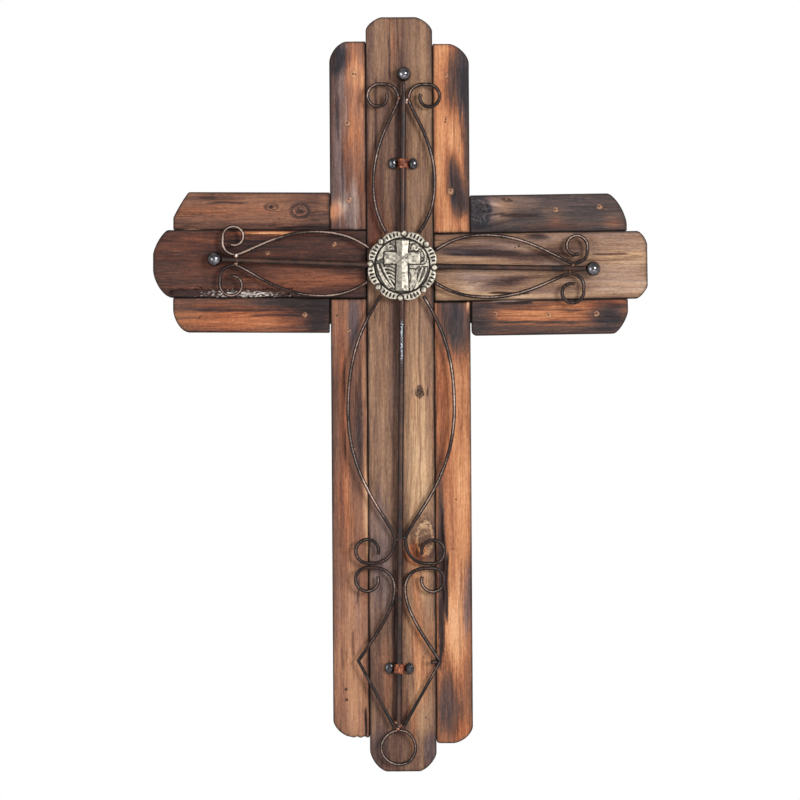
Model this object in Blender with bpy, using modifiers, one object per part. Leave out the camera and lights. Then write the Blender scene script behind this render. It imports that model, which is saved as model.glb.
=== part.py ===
"""Rustic wall cross: eleven torched boards butted together on a thin backing,
dressed with iron rods, scrolled wires, steel balls, two nailed straps and a
cast concho.

Metres, +Z up. The cross faces -Y. The origin is the middle of the hanger's
flat back face, where the cross meets the wall.

The pieces are laid out on a bench: x to the right, y up the cross, z from the
wall towards the viewer, with 0 where the two middle lines cross. The empty
called bench then stands them up against the wall.
"""

import math

import bmesh
import bpy

# Clearances between pieces
TOUCH_GAP = 0.0003
SEAM_GAP = 0.0004

# Boards
CENTRE_WIDTH = 0.0538
CENTRE_THICKNESS = 0.0152
CENTRE_TOP = 0.2004
CENTRE_BOTTOM = 0.4096
SIDE_WIDTH = 0.0292
SIDE_THICKNESS = 0.0130
UPPER_LEFT_TOP = 0.1812
UPPER_RIGHT_TOP = 0.1788
LOWER_LEFT_BOTTOM = 0.3824
LOWER_RIGHT_BOTTOM = 0.3872
ARM_MIDDLE_WIDTH = 0.0545
ARM_MIDDLE_THICKNESS = 0.0142
ARM_TOP_WIDTH = 0.0304
ARM_BOTTOM_WIDTH = 0.0278
ARM_MIDDLE_REACH = 0.2000
ARM_SIDE_REACH = 0.1838
ARM_RISE = math.radians(0.5)
LEFT_ARM_OFFSET = 0.0006
RIGHT_ARM_OFFSET = -0.0025
EASED_EDGE = 0.0011
CORNER_STEPS = 4
SQUARE_CORNER = (0.0008, 0.0008, 1.0)

# Backing and hanger
BACKING_THICKNESS = 0.0060
BACKING_INSET = 0.0110
HANGER_LENGTH = 0.0460
HANGER_HEIGHT = 0.0100
HANGER_THICKNESS = 0.0012
HANGER_ABOVE_CROSSING = 0.1450
HANGER_TEETH = 7
TOOTH_PITCH = 0.0030
TOOTH_DEPTH = 0.0014

# Rods, balls and ring
ROD_RADIUS = 0.0024
BALL_RADIUS = 0.0058
IRON_SHIFT_X = 0.0016
IRON_SHIFT_Y = -0.0011
IRON_TILT = math.radians(-0.78)
LEFT_ROD_TILT = math.radians(-1.65)
RIGHT_ROD_TILT = math.radians(-0.42)
TOP_BALL_REACH = 0.1547
LEFT_BALL_REACH = 0.1516
RIGHT_BALL_REACH = 0.1539
RING_REACH = 0.3883
RING_RADIUS = 0.0140
RING_STEPS = 28

# Scrolled wires: each runs from a tip under the concho, out round a belly,
# back to a neck at the rod, and round an open curl
WIRE_RADIUS = 0.0015
SHORT_TIP = (0.0265, 0.0130)
SHORT_BELLY = 0.0680
SHORT_FULLNESS = 0.50
SHORT_CURL_END = 0.0066
LONG_TIP = (0.0240, 0.0172)
LONG_BELLY = (0.1160, 0.0428)
LONG_FULLNESS = 0.56
LONG_NECK = 0.2200
LONG_CURL_SIDE = 0.0262
LONG_CURL_START = 0.0100
LONG_CURL_END = 0.0087
TAIL_BEND_ABOVE_END = 0.0538
TAIL_BEND_SIDE = 0.0330
CURL_BEYOND_NECK = 0.0100

# Each short scroll was bent by hand: how far its belly lies to the side, how far
# its neck is short of the ball, how far its curl's middle lies to the side, and
# the radius its curl starts with
SHORT_SCROLLS = {
    "scroll_top_left": (0.0237, 0.0202, 0.0201, 0.0102),
    "scroll_top_right": (0.0257, 0.0202, 0.0201, 0.0102),
    "scroll_left_upper": (0.0251, 0.0171, 0.0186, 0.0092),
    "scroll_left_lower": (0.0264, 0.0171, 0.0200, 0.0102),
    "scroll_right_upper": (0.0259, 0.0159, 0.0182, 0.0092),
    "scroll_right_lower": (0.0242, 0.0189, 0.0190, 0.0098),
}
CURL_FIRST_ANGLE = math.radians(-15.0)
CURL_LAST_ANGLE = math.radians(290.0)

# Straps and their nails
STRAP_THICKNESS = 0.0010
STRAP_WIDTH = 0.0072
STRAP_HALF_SPAN = 0.0122
UPPER_STRAP_REACH = 0.0827
LOWER_STRAP_ABOVE_END = 0.0477
NAIL_SPREAD = 0.0082
NAIL_HEAD_RADIUS = 0.0039
NAIL_HEAD_RISE = 0.0027
NAIL_SHANK_RADIUS = 0.0011
NAIL_DEPTH = 0.0080
NAIL_CLEARANCE = 0.0003

# Concho
CONCHO_LOBES = 8
CONCHO_TWIST = math.radians(-3.0)
CONCHO_RADIUS = 0.0284
CONCHO_NOTCH = 0.0034
CONCHO_RIM_THICKNESS = 0.0020
BERRY_CIRCLE = 0.0262
BERRY_RADIUS = 0.0023
MEDAL_RADIUS = 0.0217
MEDAL_EDGE = 0.0010
MEDAL_RISE = 0.0022
MEDAL_CROSS_HEIGHT = 0.0404
MEDAL_CROSS_SPAN = 0.0288
MEDAL_CROSS_BAR = 0.0092
MEDAL_CROSS_DROP = 0.0142
MEDAL_CROSS_WALL = 0.0009
MEDAL_CROSS_RIDGE = 0.0013
MEDAL_SCROLL_RADIUS = 0.0009

# Places that follow from the sizes above
BACKING_BACK = HANGER_THICKNESS + TOUCH_GAP
BOARD_BACK = BACKING_BACK + BACKING_THICKNESS + TOUCH_GAP
CENTRE_FRONT = BOARD_BACK + CENTRE_THICKNESS
ROD_STAND_OFF = BALL_RADIUS + TOUCH_GAP
ROD_LEVEL = CENTRE_FRONT + ROD_STAND_OFF
CENTRE_HALF = CENTRE_WIDTH / 2
SIDE_INNER = CENTRE_HALF + SEAM_GAP
SIDE_OUTER = SIDE_INNER + SIDE_WIDTH
ARM_HALF = ARM_MIDDLE_WIDTH / 2
ARM_TOP_EDGE = ARM_HALF + SEAM_GAP + ARM_TOP_WIDTH
ARM_BOTTOM_EDGE = ARM_HALF + SEAM_GAP + ARM_BOTTOM_WIDTH
ARM_MIDDLE_INNER = CENTRE_HALF + SEAM_GAP + ARM_HALF * math.sin(ARM_RISE)
ARM_SIDE_INNER = SIDE_OUTER + SEAM_GAP + ARM_TOP_EDGE * math.sin(ARM_RISE)
ABOVE_ARM = ARM_HALF + SEAM_GAP + SIDE_OUTER * math.tan(ARM_RISE)
BELOW_ARM = ARM_HALF + SEAM_GAP
WIRE_BESIDE_ROD = ROD_RADIUS + WIRE_RADIUS + TOUCH_GAP
ROD_END = RING_REACH - RING_RADIUS - WIRE_RADIUS - TOUCH_GAP
LOWER_STRAP_REACH = ROD_END - LOWER_STRAP_ABOVE_END
TAIL_BEND = (ROD_END - TAIL_BEND_ABOVE_END, TAIL_BEND_SIDE)
LONG_CURL = LONG_NECK + CURL_BEYOND_NECK
TAIL_CURL = LONG_CURL + 2 * (LONG_CURL_START + WIRE_RADIUS) + TOUCH_GAP
TAIL_NECK = TAIL_CURL + 0.7 * CURL_BEYOND_NECK

# Colours of the finishes
GREY_TAN = (0.23, 0.13, 0.075)
RED_BROWN = (0.13, 0.052, 0.03)
BURNT_ORANGE = (0.30, 0.12, 0.045)
CHARRED = (0.05, 0.03, 0.024)
PLAIN_PLY = (0.42, 0.28, 0.16)
DARK_IRON = (0.05, 0.035, 0.03)
POLISHED = (0.25, 0.25, 0.27)
RUST = (0.28, 0.10, 0.045)
BLACK_NAIL = (0.02, 0.02, 0.024)
OLD_SILVER = (0.62, 0.57, 0.48)
ZINC = (0.55, 0.56, 0.57)


def new_collection(name):
    collection = bpy.data.collections.new(name)
    bpy.context.scene.collection.children.link(collection)
    return collection


def place(piece, parent=None, at=(0.0, 0.0, 0.0), turn=0.0, group=None):
    (group or parts).objects.link(piece)
    piece.parent = parent
    piece.location = at
    piece.rotation_euler.z = turn
    return piece


def empty(name, parent=None, at=(0.0, 0.0, 0.0), turn=0.0):
    return place(bpy.data.objects.new(name, None), parent, at, turn)


def finish(piece, colour, roughness, metallic=0.0):
    material = bpy.data.materials.new(piece.name + "_finish")
    material.use_nodes = True
    shader = material.node_tree.nodes["Principled BSDF"]
    shader.inputs["Base Color"].default_value = (*colour, 1.0)
    shader.inputs["Roughness"].default_value = roughness
    shader.inputs["Metallic"].default_value = metallic
    material.diffuse_color = (*colour, 1.0)
    piece.data.materials.append(material)
    return piece


def as_guide(piece):
    piece.hide_render = True
    piece.display_type = "WIRE"
    return piece


def shade_round(mesh, sharp=math.radians(50.0)):
    mesh.shade_smooth()
    mesh.set_sharp_from_angle(angle=sharp)


def mesh_piece(name, build):
    """A mesh object whose shape the given function makes in a bmesh."""
    mesh = bpy.data.meshes.new(name)
    shape = bmesh.new()
    build(shape)
    shape.to_mesh(mesh)
    shape.free()
    return bpy.data.objects.new(name, mesh)


def flat_piece(name, outline, thickness):
    """A plate of this outline, as thick as said, centred on z = 0."""
    curve = bpy.data.curves.new(name, "CURVE")
    curve.dimensions = "2D"
    curve.fill_mode = "BOTH"
    curve.extrude = thickness / 2
    spline = curve.splines.new("POLY")
    spline.points.add(len(outline) - 1)
    for point, (x, y) in zip(spline.points, outline):
        point.co = (x, y, 0.0, 1.0)
    spline.use_cyclic_u = True
    return bpy.data.objects.new(name, curve)


def round_bar(name, route, radius, closed=False, resolution=2):
    """A rod or wire along the route's points."""
    curve = bpy.data.curves.new(name, "CURVE")
    curve.dimensions = "3D"
    curve.bevel_depth = radius
    curve.bevel_resolution = resolution
    curve.use_fill_caps = not closed
    spline = curve.splines.new("POLY")
    spline.points.add(len(route) - 1)
    for point, (x, y, z) in zip(spline.points, route):
        point.co = (x, y, z, 1.0)
    spline.use_cyclic_u = closed
    spline.use_smooth = True
    return bpy.data.objects.new(name, curve)


def ease_edges(piece, width, angle=60.0):
    weld = piece.modifiers.new("Join caps", "WELD")
    weld.merge_threshold = 0.00001
    bevel = piece.modifiers.new("Eased edges", "BEVEL")
    bevel.width = width
    bevel.segments = 1
    bevel.limit_method = "ANGLE"
    bevel.angle_limit = math.radians(angle)


def as_mesh(piece):
    """The same piece as a mesh object, so that it can be cut or joined."""
    bpy.context.view_layer.update()
    depsgraph = bpy.context.evaluated_depsgraph_get()
    mesh = bpy.data.meshes.new_from_object(piece.evaluated_get(depsgraph))
    shape = bmesh.new()
    shape.from_mesh(mesh)
    bmesh.ops.remove_doubles(shape, verts=shape.verts, dist=0.00001)
    shape.to_mesh(mesh)
    shape.free()
    name = piece.name
    groups = list(piece.users_collection)
    parent, matrix = piece.parent, piece.matrix_world.copy()
    bpy.data.objects.remove(piece)
    solid = bpy.data.objects.new(name, mesh)
    for group in groups:
        group.objects.link(solid)
    solid.parent = parent
    solid.matrix_world = matrix
    return solid


def cut(piece, cutter):
    boolean = piece.modifiers.new("Cut " + cutter.name, "BOOLEAN")
    boolean.operation = "DIFFERENCE"
    boolean.object = cutter


def turned_piece(name, profile, steps):
    """A profile of radius and height, listed from the top down, turned about z."""
    mesh = bpy.data.meshes.new(name)
    mesh.from_pydata(
        [(radius, 0.0, height) for radius, height in profile],
        [(i, i + 1) for i in range(len(profile) - 1)],
        [],
    )
    piece = bpy.data.objects.new(name, mesh)
    screw = piece.modifiers.new("Turned", "SCREW")
    screw.axis = "Z"
    screw.steps = steps
    screw.render_steps = steps
    screw.use_merge_vertices = True
    screw.merge_threshold = 0.00001
    screw.use_smooth_shade = True
    return piece


def board_outline(width, height, worn):
    """A rectangle whose corners are worn to the named cuts.

    Each cut is how far it goes along x, along y, and how full it is: 1 is a
    straight cut and 2 a quarter of an ellipse.
    """
    corners = (
        ("top_right", 1, 1),
        ("top_left", -1, 1),
        ("bottom_left", -1, -1),
        ("bottom_right", 1, -1),
    )
    outline = []
    for index, (corner, side, end) in enumerate(corners):
        cut_x, cut_y, fullness = worn.get(corner, SQUARE_CORNER)
        count = CORNER_STEPS if corner in worn else 1
        steps = range(count + 1)
        for step in reversed(steps) if index % 2 else steps:
            angle = 0.5 * math.pi * step / count
            x = width / 2 - cut_x * (1 - max(math.cos(angle), 0.0) ** (2 / fullness))
            y = height / 2 - cut_y * (1 - max(math.sin(angle), 0.0) ** (2 / fullness))
            outline.append((side * x, end * y))
    return outline


def board(name, parent, x_range, y_range, thickness, colour, worn):
    width = x_range[1] - x_range[0]
    height = y_range[1] - y_range[0]
    piece = flat_piece(name, board_outline(width, height, worn), thickness)
    middle = (sum(x_range) / 2, sum(y_range) / 2, BOARD_BACK + thickness / 2)
    place(piece, parent, middle)
    ease_edges(piece, EASED_EDGE)
    return finish(piece, colour, 0.7)


def upright_boards():
    centre = board(
        "upright_centre_board",
        bench,
        (-CENTRE_HALF, CENTRE_HALF),
        (-CENTRE_BOTTOM, CENTRE_TOP),
        CENTRE_THICKNESS,
        GREY_TAN,
        {
            "top_left": (0.0130, 0.0104, 1.5),
            "top_right": (0.0141, 0.0113, 1.5),
            "bottom_left": (0.0140, 0.0175, 1.6),
            "bottom_right": (0.0140, 0.0150, 1.5),
        },
    )
    left = (-SIDE_OUTER, -SIDE_INNER)
    right = (SIDE_INNER, SIDE_OUTER)
    board(
        "upright_upper_left_board",
        bench,
        left,
        (LEFT_ARM_OFFSET + ABOVE_ARM, UPPER_LEFT_TOP),
        SIDE_THICKNESS,
        RED_BROWN,
        {"top_left": (0.0140, 0.0170, 1.7)},
    )
    board(
        "upright_upper_right_board",
        bench,
        right,
        (RIGHT_ARM_OFFSET + ABOVE_ARM, UPPER_RIGHT_TOP),
        SIDE_THICKNESS,
        BURNT_ORANGE,
        {"top_right": (0.0162, 0.0155, 1.6)},
    )
    board(
        "upright_lower_left_board",
        bench,
        left,
        (-LOWER_LEFT_BOTTOM, LEFT_ARM_OFFSET - BELOW_ARM),
        SIDE_THICKNESS,
        GREY_TAN,
        {"bottom_left": (0.0154, 0.0142, 1.6)},
    )
    board(
        "upright_lower_right_board",
        bench,
        right,
        (-LOWER_RIGHT_BOTTOM, RIGHT_ARM_OFFSET - BELOW_ARM),
        SIDE_THICKNESS,
        BURNT_ORANGE,
        {"bottom_right": (0.0162, 0.0138, 1.7), "bottom_left": (0.0025, 0.0018, 1.6)},
    )
    return centre


def arm_boards(side, word, offset, colours, worn):
    """One arm's three boards: side is -1 for the left arm and 1 for the right."""
    arm = empty("arm_" + word, bench, (0.0, offset, 0.0), side * ARM_RISE)

    def span(inner, outer):
        return tuple(sorted((side * inner, side * outer)))

    rows = (
        ("middle", ARM_MIDDLE_INNER, ARM_MIDDLE_REACH, -ARM_HALF, ARM_HALF),
        ("top", ARM_SIDE_INNER, ARM_SIDE_REACH, ARM_HALF + SEAM_GAP, ARM_TOP_EDGE),
        ("bottom", ARM_SIDE_INNER, ARM_SIDE_REACH, -ARM_BOTTOM_EDGE, -ARM_HALF - SEAM_GAP),
    )
    for (row, inner, outer, low, high), colour in zip(rows, colours):
        thickness = ARM_MIDDLE_THICKNESS if row == "middle" else SIDE_THICKNESS
        name = f"arm_{word}_{row}_board"
        board(name, arm, span(inner, outer), (low, high), thickness, colour, worn[row])


def left_arm_boards():
    worn = {
        "middle": {"top_left": (0.0121, 0.0200, 1.4), "bottom_left": (0.0145, 0.0220, 1.6)},
        "top": {"top_left": (0.0125, 0.0250, 1.3)},
        "bottom": {"bottom_left": (0.0125, 0.0186, 1.7)},
    }
    colours = (RED_BROWN, BURNT_ORANGE, BURNT_ORANGE)
    arm_boards(-1, "left", LEFT_ARM_OFFSET, colours, worn)


def right_arm_boards():
    worn = {
        "middle": {"top_right": (0.0081, 0.0112, 1.5), "bottom_right": (0.0062, 0.0090, 1.5)},
        "top": {"top_right": (0.0155, 0.0250, 1.5)},
        "bottom": {"bottom_right": (0.0115, 0.0180, 1.4), "bottom_left": (0.0040, 0.0040, 1.8)},
    }
    colours = (GREY_TAN, CHARRED, BURNT_ORANGE)
    arm_boards(1, "right", RIGHT_ARM_OFFSET, colours, worn)


def backing():
    """A thin cross behind the boards, set in from their outline all round."""
    half = SIDE_OUTER - BACKING_INSET
    arm_low = RIGHT_ARM_OFFSET - ARM_BOTTOM_EDGE + BACKING_INSET
    arm_high = LEFT_ARM_OFFSET + ARM_TOP_EDGE - BACKING_INSET
    reach = ARM_SIDE_REACH - BACKING_INSET
    top = UPPER_RIGHT_TOP - BACKING_INSET
    bottom = -LOWER_LEFT_BOTTOM + BACKING_INSET
    right_side = [
        (half, bottom),
        (half, arm_low),
        (reach, arm_low),
        (reach, arm_high),
        (half, arm_high),
        (half, top),
    ]
    left_side = [(-x, y) for x, y in reversed(right_side)]
    piece = flat_piece("backing_cross", right_side + left_side, BACKING_THICKNESS)
    place(piece, bench, (0.0, 0.0, BACKING_BACK + BACKING_THICKNESS / 2))
    finish(piece, PLAIN_PLY, 0.8)


def hanger():
    """A flat bar with a row of teeth along the middle of its lower edge."""
    half = HANGER_LENGTH / 2
    high = HANGER_HEIGHT / 2
    outline = [(half, high), (-half, high), (-half, -high)]
    first = -TOOTH_PITCH * HANGER_TEETH / 2
    for tooth in range(HANGER_TEETH):
        left = first + tooth * TOOTH_PITCH
        outline.append((left, -high))
        outline.append((left + TOOTH_PITCH / 2, -high + TOOTH_DEPTH))
    outline.append((-first, -high))
    outline.append((half, -high))
    piece = flat_piece("wall_hanger", outline, HANGER_THICKNESS)
    place(piece, bench, (0.0, HANGER_ABOVE_CROSSING, HANGER_THICKNESS / 2))
    finish(piece, ZINC, 0.35, 1.0)


def bezier(start, start_handle, end_handle, end, count):
    """Points along a cubic curve, without its last one."""
    route = []
    for step in range(count):
        t = step / count
        weights = ((1 - t) ** 3, 3 * t * (1 - t) ** 2, 3 * t * t * (1 - t), t**3)
        corners = (start, start_handle, end_handle, end)
        route.append(tuple(sum(w * c[axis] for w, c in zip(weights, corners)) for axis in (0, 1)))
    return route


def curl_route(neck, centre, start_radius, end_radius, onward, count):
    """From the neck at the rod round an open curl: onward is 1 away from the concho."""

    def on_curl(t):
        angle = CURL_FIRST_ANGLE + t * (CURL_LAST_ANGLE - CURL_FIRST_ANGLE)
        radius = start_radius + t * (end_radius - start_radius)
        along = centre[0] + onward * radius * math.cos(angle)
        return along, centre[1] + radius * math.sin(angle)

    first = on_curl(0.0)
    along = abs(first[0] - neck[0])
    across = first[1] - neck[1]
    leave = (neck[0] + onward * 0.66 * along, neck[1])
    arrive = (first[0] + onward * 0.12 * start_radius, first[1] - 0.585 * across)
    return bezier(neck, leave, arrive, first, 4) + [on_curl(i / count) for i in range(count + 1)]


def bow_route(tip, belly, neck, fullness):
    """From a tip beside the concho round the belly and in to the neck."""
    rise = belly[0] - tip[0]
    fall = neck[0] - belly[0]
    out = bezier(
        tip,
        (tip[0] + 0.32 * rise, tip[1] + 0.72 * (belly[1] - tip[1])),
        (belly[0] - 0.42 * rise, belly[1]),
        belly,
        6,
    )
    back = bezier(
        belly,
        (belly[0] + fullness * fall, belly[1]),
        (neck[0] - 0.16 * fall, neck[1] + 0.10 * (belly[1] - neck[1])),
        neck,
        8,
    )
    return out + back


def scroll_wire(name, branch, side, route):
    """A wire along the route, on the side of its rod that side says."""
    piece = round_bar(name, [(u, side * v, 0.0) for u, v in route], WIRE_RADIUS)
    place(piece, branch)
    finish(piece, DARK_IRON, 0.42, 0.8)


def short_scrolls():
    places = (
        ("scroll_top_left", top_branch, 1, TOP_BALL_REACH),
        ("scroll_top_right", top_branch, -1, TOP_BALL_REACH),
        ("scroll_left_lower", left_branch, 1, LEFT_BALL_REACH),
        ("scroll_left_upper", left_branch, -1, LEFT_BALL_REACH),
        ("scroll_right_upper", right_branch, 1, RIGHT_BALL_REACH),
        ("scroll_right_lower", right_branch, -1, RIGHT_BALL_REACH),
    )
    for name, branch, side, ball_reach in places:
        belly_side, short_of_ball, curl_side, curl_start = SHORT_SCROLLS[name]
        neck_reach = ball_reach - short_of_ball
        neck = (neck_reach, WIRE_BESIDE_ROD)
        centre = (neck_reach + 0.2 * CURL_BEYOND_NECK, curl_side)
        route = bow_route(SHORT_TIP, (SHORT_BELLY, belly_side), neck, SHORT_FULLNESS)
        route += curl_route(neck, centre, curl_start, SHORT_CURL_END, 1, 13)
        scroll_wire(name, branch, side, route)


def long_scrolls():
    neck = (LONG_NECK, WIRE_BESIDE_ROD)
    centre = (LONG_CURL, LONG_CURL_SIDE)
    route = bow_route(LONG_TIP, LONG_BELLY, neck, LONG_FULLNESS)
    route += curl_route(neck, centre, LONG_CURL_START, LONG_CURL_END, 1, 14)
    scroll_wire("long_scroll_left", bottom_branch, -1, route)
    scroll_wire("long_scroll_right", bottom_branch, 1, route)


def tail_scrolls():
    """The lower pair: straight from the rod's end to a bend, then up to a curl."""
    neck = (TAIL_NECK, WIRE_BESIDE_ROD)
    centre = (TAIL_CURL, LONG_CURL_SIDE)
    run = TAIL_BEND[0] - TAIL_NECK
    inner = bezier(
        TAIL_BEND,
        (TAIL_BEND[0] - 0.31 * run, TAIL_BEND[1] - 0.42 * (TAIL_BEND[1] - WIRE_BESIDE_ROD)),
        (TAIL_NECK + 0.31 * run, WIRE_BESIDE_ROD),
        neck,
        7,
    )
    route = [(ROD_END - WIRE_RADIUS, WIRE_BESIDE_ROD)] + inner
    route += curl_route(neck, centre, LONG_CURL_START, LONG_CURL_END, -1, 14)
    scroll_wire("tail_scroll_left", bottom_branch, -1, route)
    scroll_wire("tail_scroll_right", bottom_branch, 1, route)


def rod(name, branch, start, end):
    piece = round_bar(name, [(start, 0.0, 0.0), (end, 0.0, 0.0)], ROD_RADIUS, resolution=4)
    place(piece, branch)
    finish(piece, DARK_IRON, 0.45, 0.8)


def rods():
    beside = BALL_RADIUS + TOUCH_GAP
    rod("upright_rod", bottom_branch, beside - TOP_BALL_REACH, ROD_END)
    rod("left_rod", left_branch, ROD_RADIUS + TOUCH_GAP, LEFT_BALL_REACH - beside)
    rod("right_rod", right_branch, ROD_RADIUS + TOUCH_GAP, RIGHT_BALL_REACH - beside)


def ball(name, branch, reach):
    def build(shape):
        bmesh.ops.create_uvsphere(shape, u_segments=14, v_segments=8, radius=BALL_RADIUS)

    piece = mesh_piece(name, build)
    shade_round(piece.data)
    place(piece, branch, (reach, 0.0, 0.0))
    finish(piece, POLISHED, 0.18, 1.0)


def ring():
    route = []
    for step in range(RING_STEPS):
        angle = 2 * math.pi * step / RING_STEPS
        along = RING_REACH + RING_RADIUS * math.cos(angle)
        route.append((along, RING_RADIUS * math.sin(angle), 0.0))
    piece = round_bar("bottom_ring", route, WIRE_RADIUS, closed=True)
    place(piece, bottom_branch)
    finish(piece, DARK_IRON, 0.4, 0.8)


def strap_outline():
    """The strap seen along the rod: a foot, over the rod, and a foot. The rod is at 0."""
    inside = ROD_RADIUS + TOUCH_GAP
    outside = inside + STRAP_THICKNESS
    sole = -ROD_STAND_OFF + TOUCH_GAP
    instep = sole + STRAP_THICKNESS
    steps = 7
    angles = [math.pi * step / steps for step in range(steps + 1)]
    over = [(outside * math.cos(a), outside * math.sin(a)) for a in angles]
    under = [(inside * math.cos(a), inside * math.sin(a)) for a in reversed(angles)]
    left_foot = [(-outside, instep), (-STRAP_HALF_SPAN, instep), (-STRAP_HALF_SPAN, sole)]
    right_foot = [(STRAP_HALF_SPAN, sole), (STRAP_HALF_SPAN, instep), (outside, instep)]
    return over + left_foot + [(-inside, sole)] + under + [(inside, sole)] + right_foot


def nail_profile():
    tip = -NAIL_DEPTH - STRAP_THICKNESS - 2 * TOUCH_GAP
    profile = [(0.0, NAIL_HEAD_RISE)]
    for angle in (35.0, 65.0, 90.0):
        swing = math.radians(angle)
        height = NAIL_HEAD_RISE * math.cos(swing)
        profile.append((NAIL_HEAD_RADIUS * math.sin(swing), max(height, 0.0)))
    profile.append((NAIL_SHANK_RADIUS, 0.0))
    profile.append((NAIL_SHANK_RADIUS, tip + 2 * NAIL_SHANK_RADIUS))
    profile.append((0.0, tip))
    return profile


def bore(name, parent, at, radius, depth):
    """A cutter for a nail's hole, from above the strap's foot down into the board."""

    def build(shape):
        bmesh.ops.create_cone(
            shape, cap_ends=True, segments=10, radius1=radius, radius2=radius, depth=depth
        )

    piece = as_guide(mesh_piece(name, build))
    return place(piece, parent, at, group=cutters)


def strap(word, reach, board_piece):
    """A strap over the upright rod, held by a nail through each foot."""
    clip = empty(word + "_clip", iron, (0.0, reach, 0.0))
    piece = flat_piece(word + "_strap", strap_outline(), STRAP_WIDTH)
    place(piece, clip)
    piece.rotation_euler.x = math.radians(90.0)
    piece = finish(as_mesh(piece), RUST, 0.6, 0.6)
    foot_top = -ROD_STAND_OFF + TOUCH_GAP + STRAP_THICKNESS
    hole_radius = NAIL_SHANK_RADIUS + NAIL_CLEARANCE
    hole_bottom = -ROD_STAND_OFF - NAIL_DEPTH - NAIL_CLEARANCE
    hole_top = foot_top + NAIL_HEAD_RISE
    for side, hand in ((-1, "left"), (1, "right")):
        middle = (side * NAIL_SPREAD, 0.0, (hole_top + hole_bottom) / 2)
        hole = bore(f"{word}_{hand}_bore", clip, middle, hole_radius, hole_top - hole_bottom)
        cut(piece, hole)
        cut(board_piece, hole)
        nail = turned_piece(f"{word}_{hand}_nail", nail_profile(), 10)
        place(nail, clip, (side * NAIL_SPREAD, 0.0, foot_top + TOUCH_GAP))
        finish(nail, BLACK_NAIL, 0.25, 0.9)


def scalloped_outline():
    """Eight shallow lobes with a notch for a berry between each two."""
    outline = []
    steps = 6
    for step in range(CONCHO_LOBES * steps):
        turn = step / steps
        swell = abs(math.sin(math.pi * turn)) ** 0.55
        radius = CONCHO_RADIUS - CONCHO_NOTCH * (1 - swell)
        angle = 2 * math.pi * turn / CONCHO_LOBES
        outline.append((radius * math.cos(angle), radius * math.sin(angle)))
    return outline


def medal_height(radius):
    """How high the medallion's face stands at this distance from its middle."""
    share = min(radius / MEDAL_RADIUS, 1.0)
    return CONCHO_RIM_THICKNESS + MEDAL_EDGE + MEDAL_RISE * (1 - share**2.6)


def medal_profile():
    rings = 5
    profile = []
    for step in range(rings + 1):
        radius = MEDAL_RADIUS * (step / rings) ** 0.8
        profile.append((radius, medal_height(radius)))
    low = 0.5 * CONCHO_RIM_THICKNESS
    return profile + [(MEDAL_RADIUS, low), (0.0, low)]


def roof_bar(name, parent, length, along, middle):
    """A bar of the medallion's cross: low walls under a roof with hipped ends."""
    half_width = MEDAL_CROSS_BAR / 2
    base = medal_height(MEDAL_RADIUS)
    eaves = medal_height(0.0) + MEDAL_CROSS_WALL

    def build(shape):
        made = bmesh.ops.create_cube(shape, size=1.0)
        for vert in made["verts"]:
            vert.co.x *= length
            vert.co.y *= 2 * half_width
            vert.co.z = eaves if vert.co.z > 0 else base
        front = max(shape.faces, key=lambda face: face.calc_center_median().z)
        raised = bmesh.ops.extrude_discrete_faces(shape, faces=[front])["faces"][0]
        for vert in raised.verts:
            vert.co.x -= math.copysign(half_width, vert.co.x)
            vert.co.y = 0.0
            vert.co.z += MEDAL_CROSS_RIDGE
        bmesh.ops.remove_doubles(shape, verts=shape.verts, dist=0.00001)

    piece = as_guide(mesh_piece(name, build))
    return place(piece, parent, (*middle, 0.0), along, cutters)


def medal_scroll(name, parent, centre, radius, first, last):
    """A low ridge curling in on itself, laid on the medallion's face."""
    steps = 9
    route = []
    for step in range(steps + 1):
        t = step / steps
        angle = first + t * (last - first)
        reach = radius * (1 - 0.62 * t)
        x = centre[0] + reach * math.cos(angle)
        y = centre[1] + reach * math.sin(angle)
        route.append((x, y, medal_height(math.hypot(x, y))))
    piece = round_bar(name, route, MEDAL_SCROLL_RADIUS, resolution=1)
    place(piece, parent, group=cutters)
    return as_guide(as_mesh(piece))


def berry(name, parent, angle):
    def build(shape):
        bmesh.ops.create_icosphere(shape, subdivisions=1, radius=BERRY_RADIUS)

    piece = as_guide(mesh_piece(name, build))
    at = (BERRY_CIRCLE * math.cos(angle), BERRY_CIRCLE * math.sin(angle), CONCHO_RIM_THICKNESS)
    return place(piece, parent, at, angle, cutters)


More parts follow.
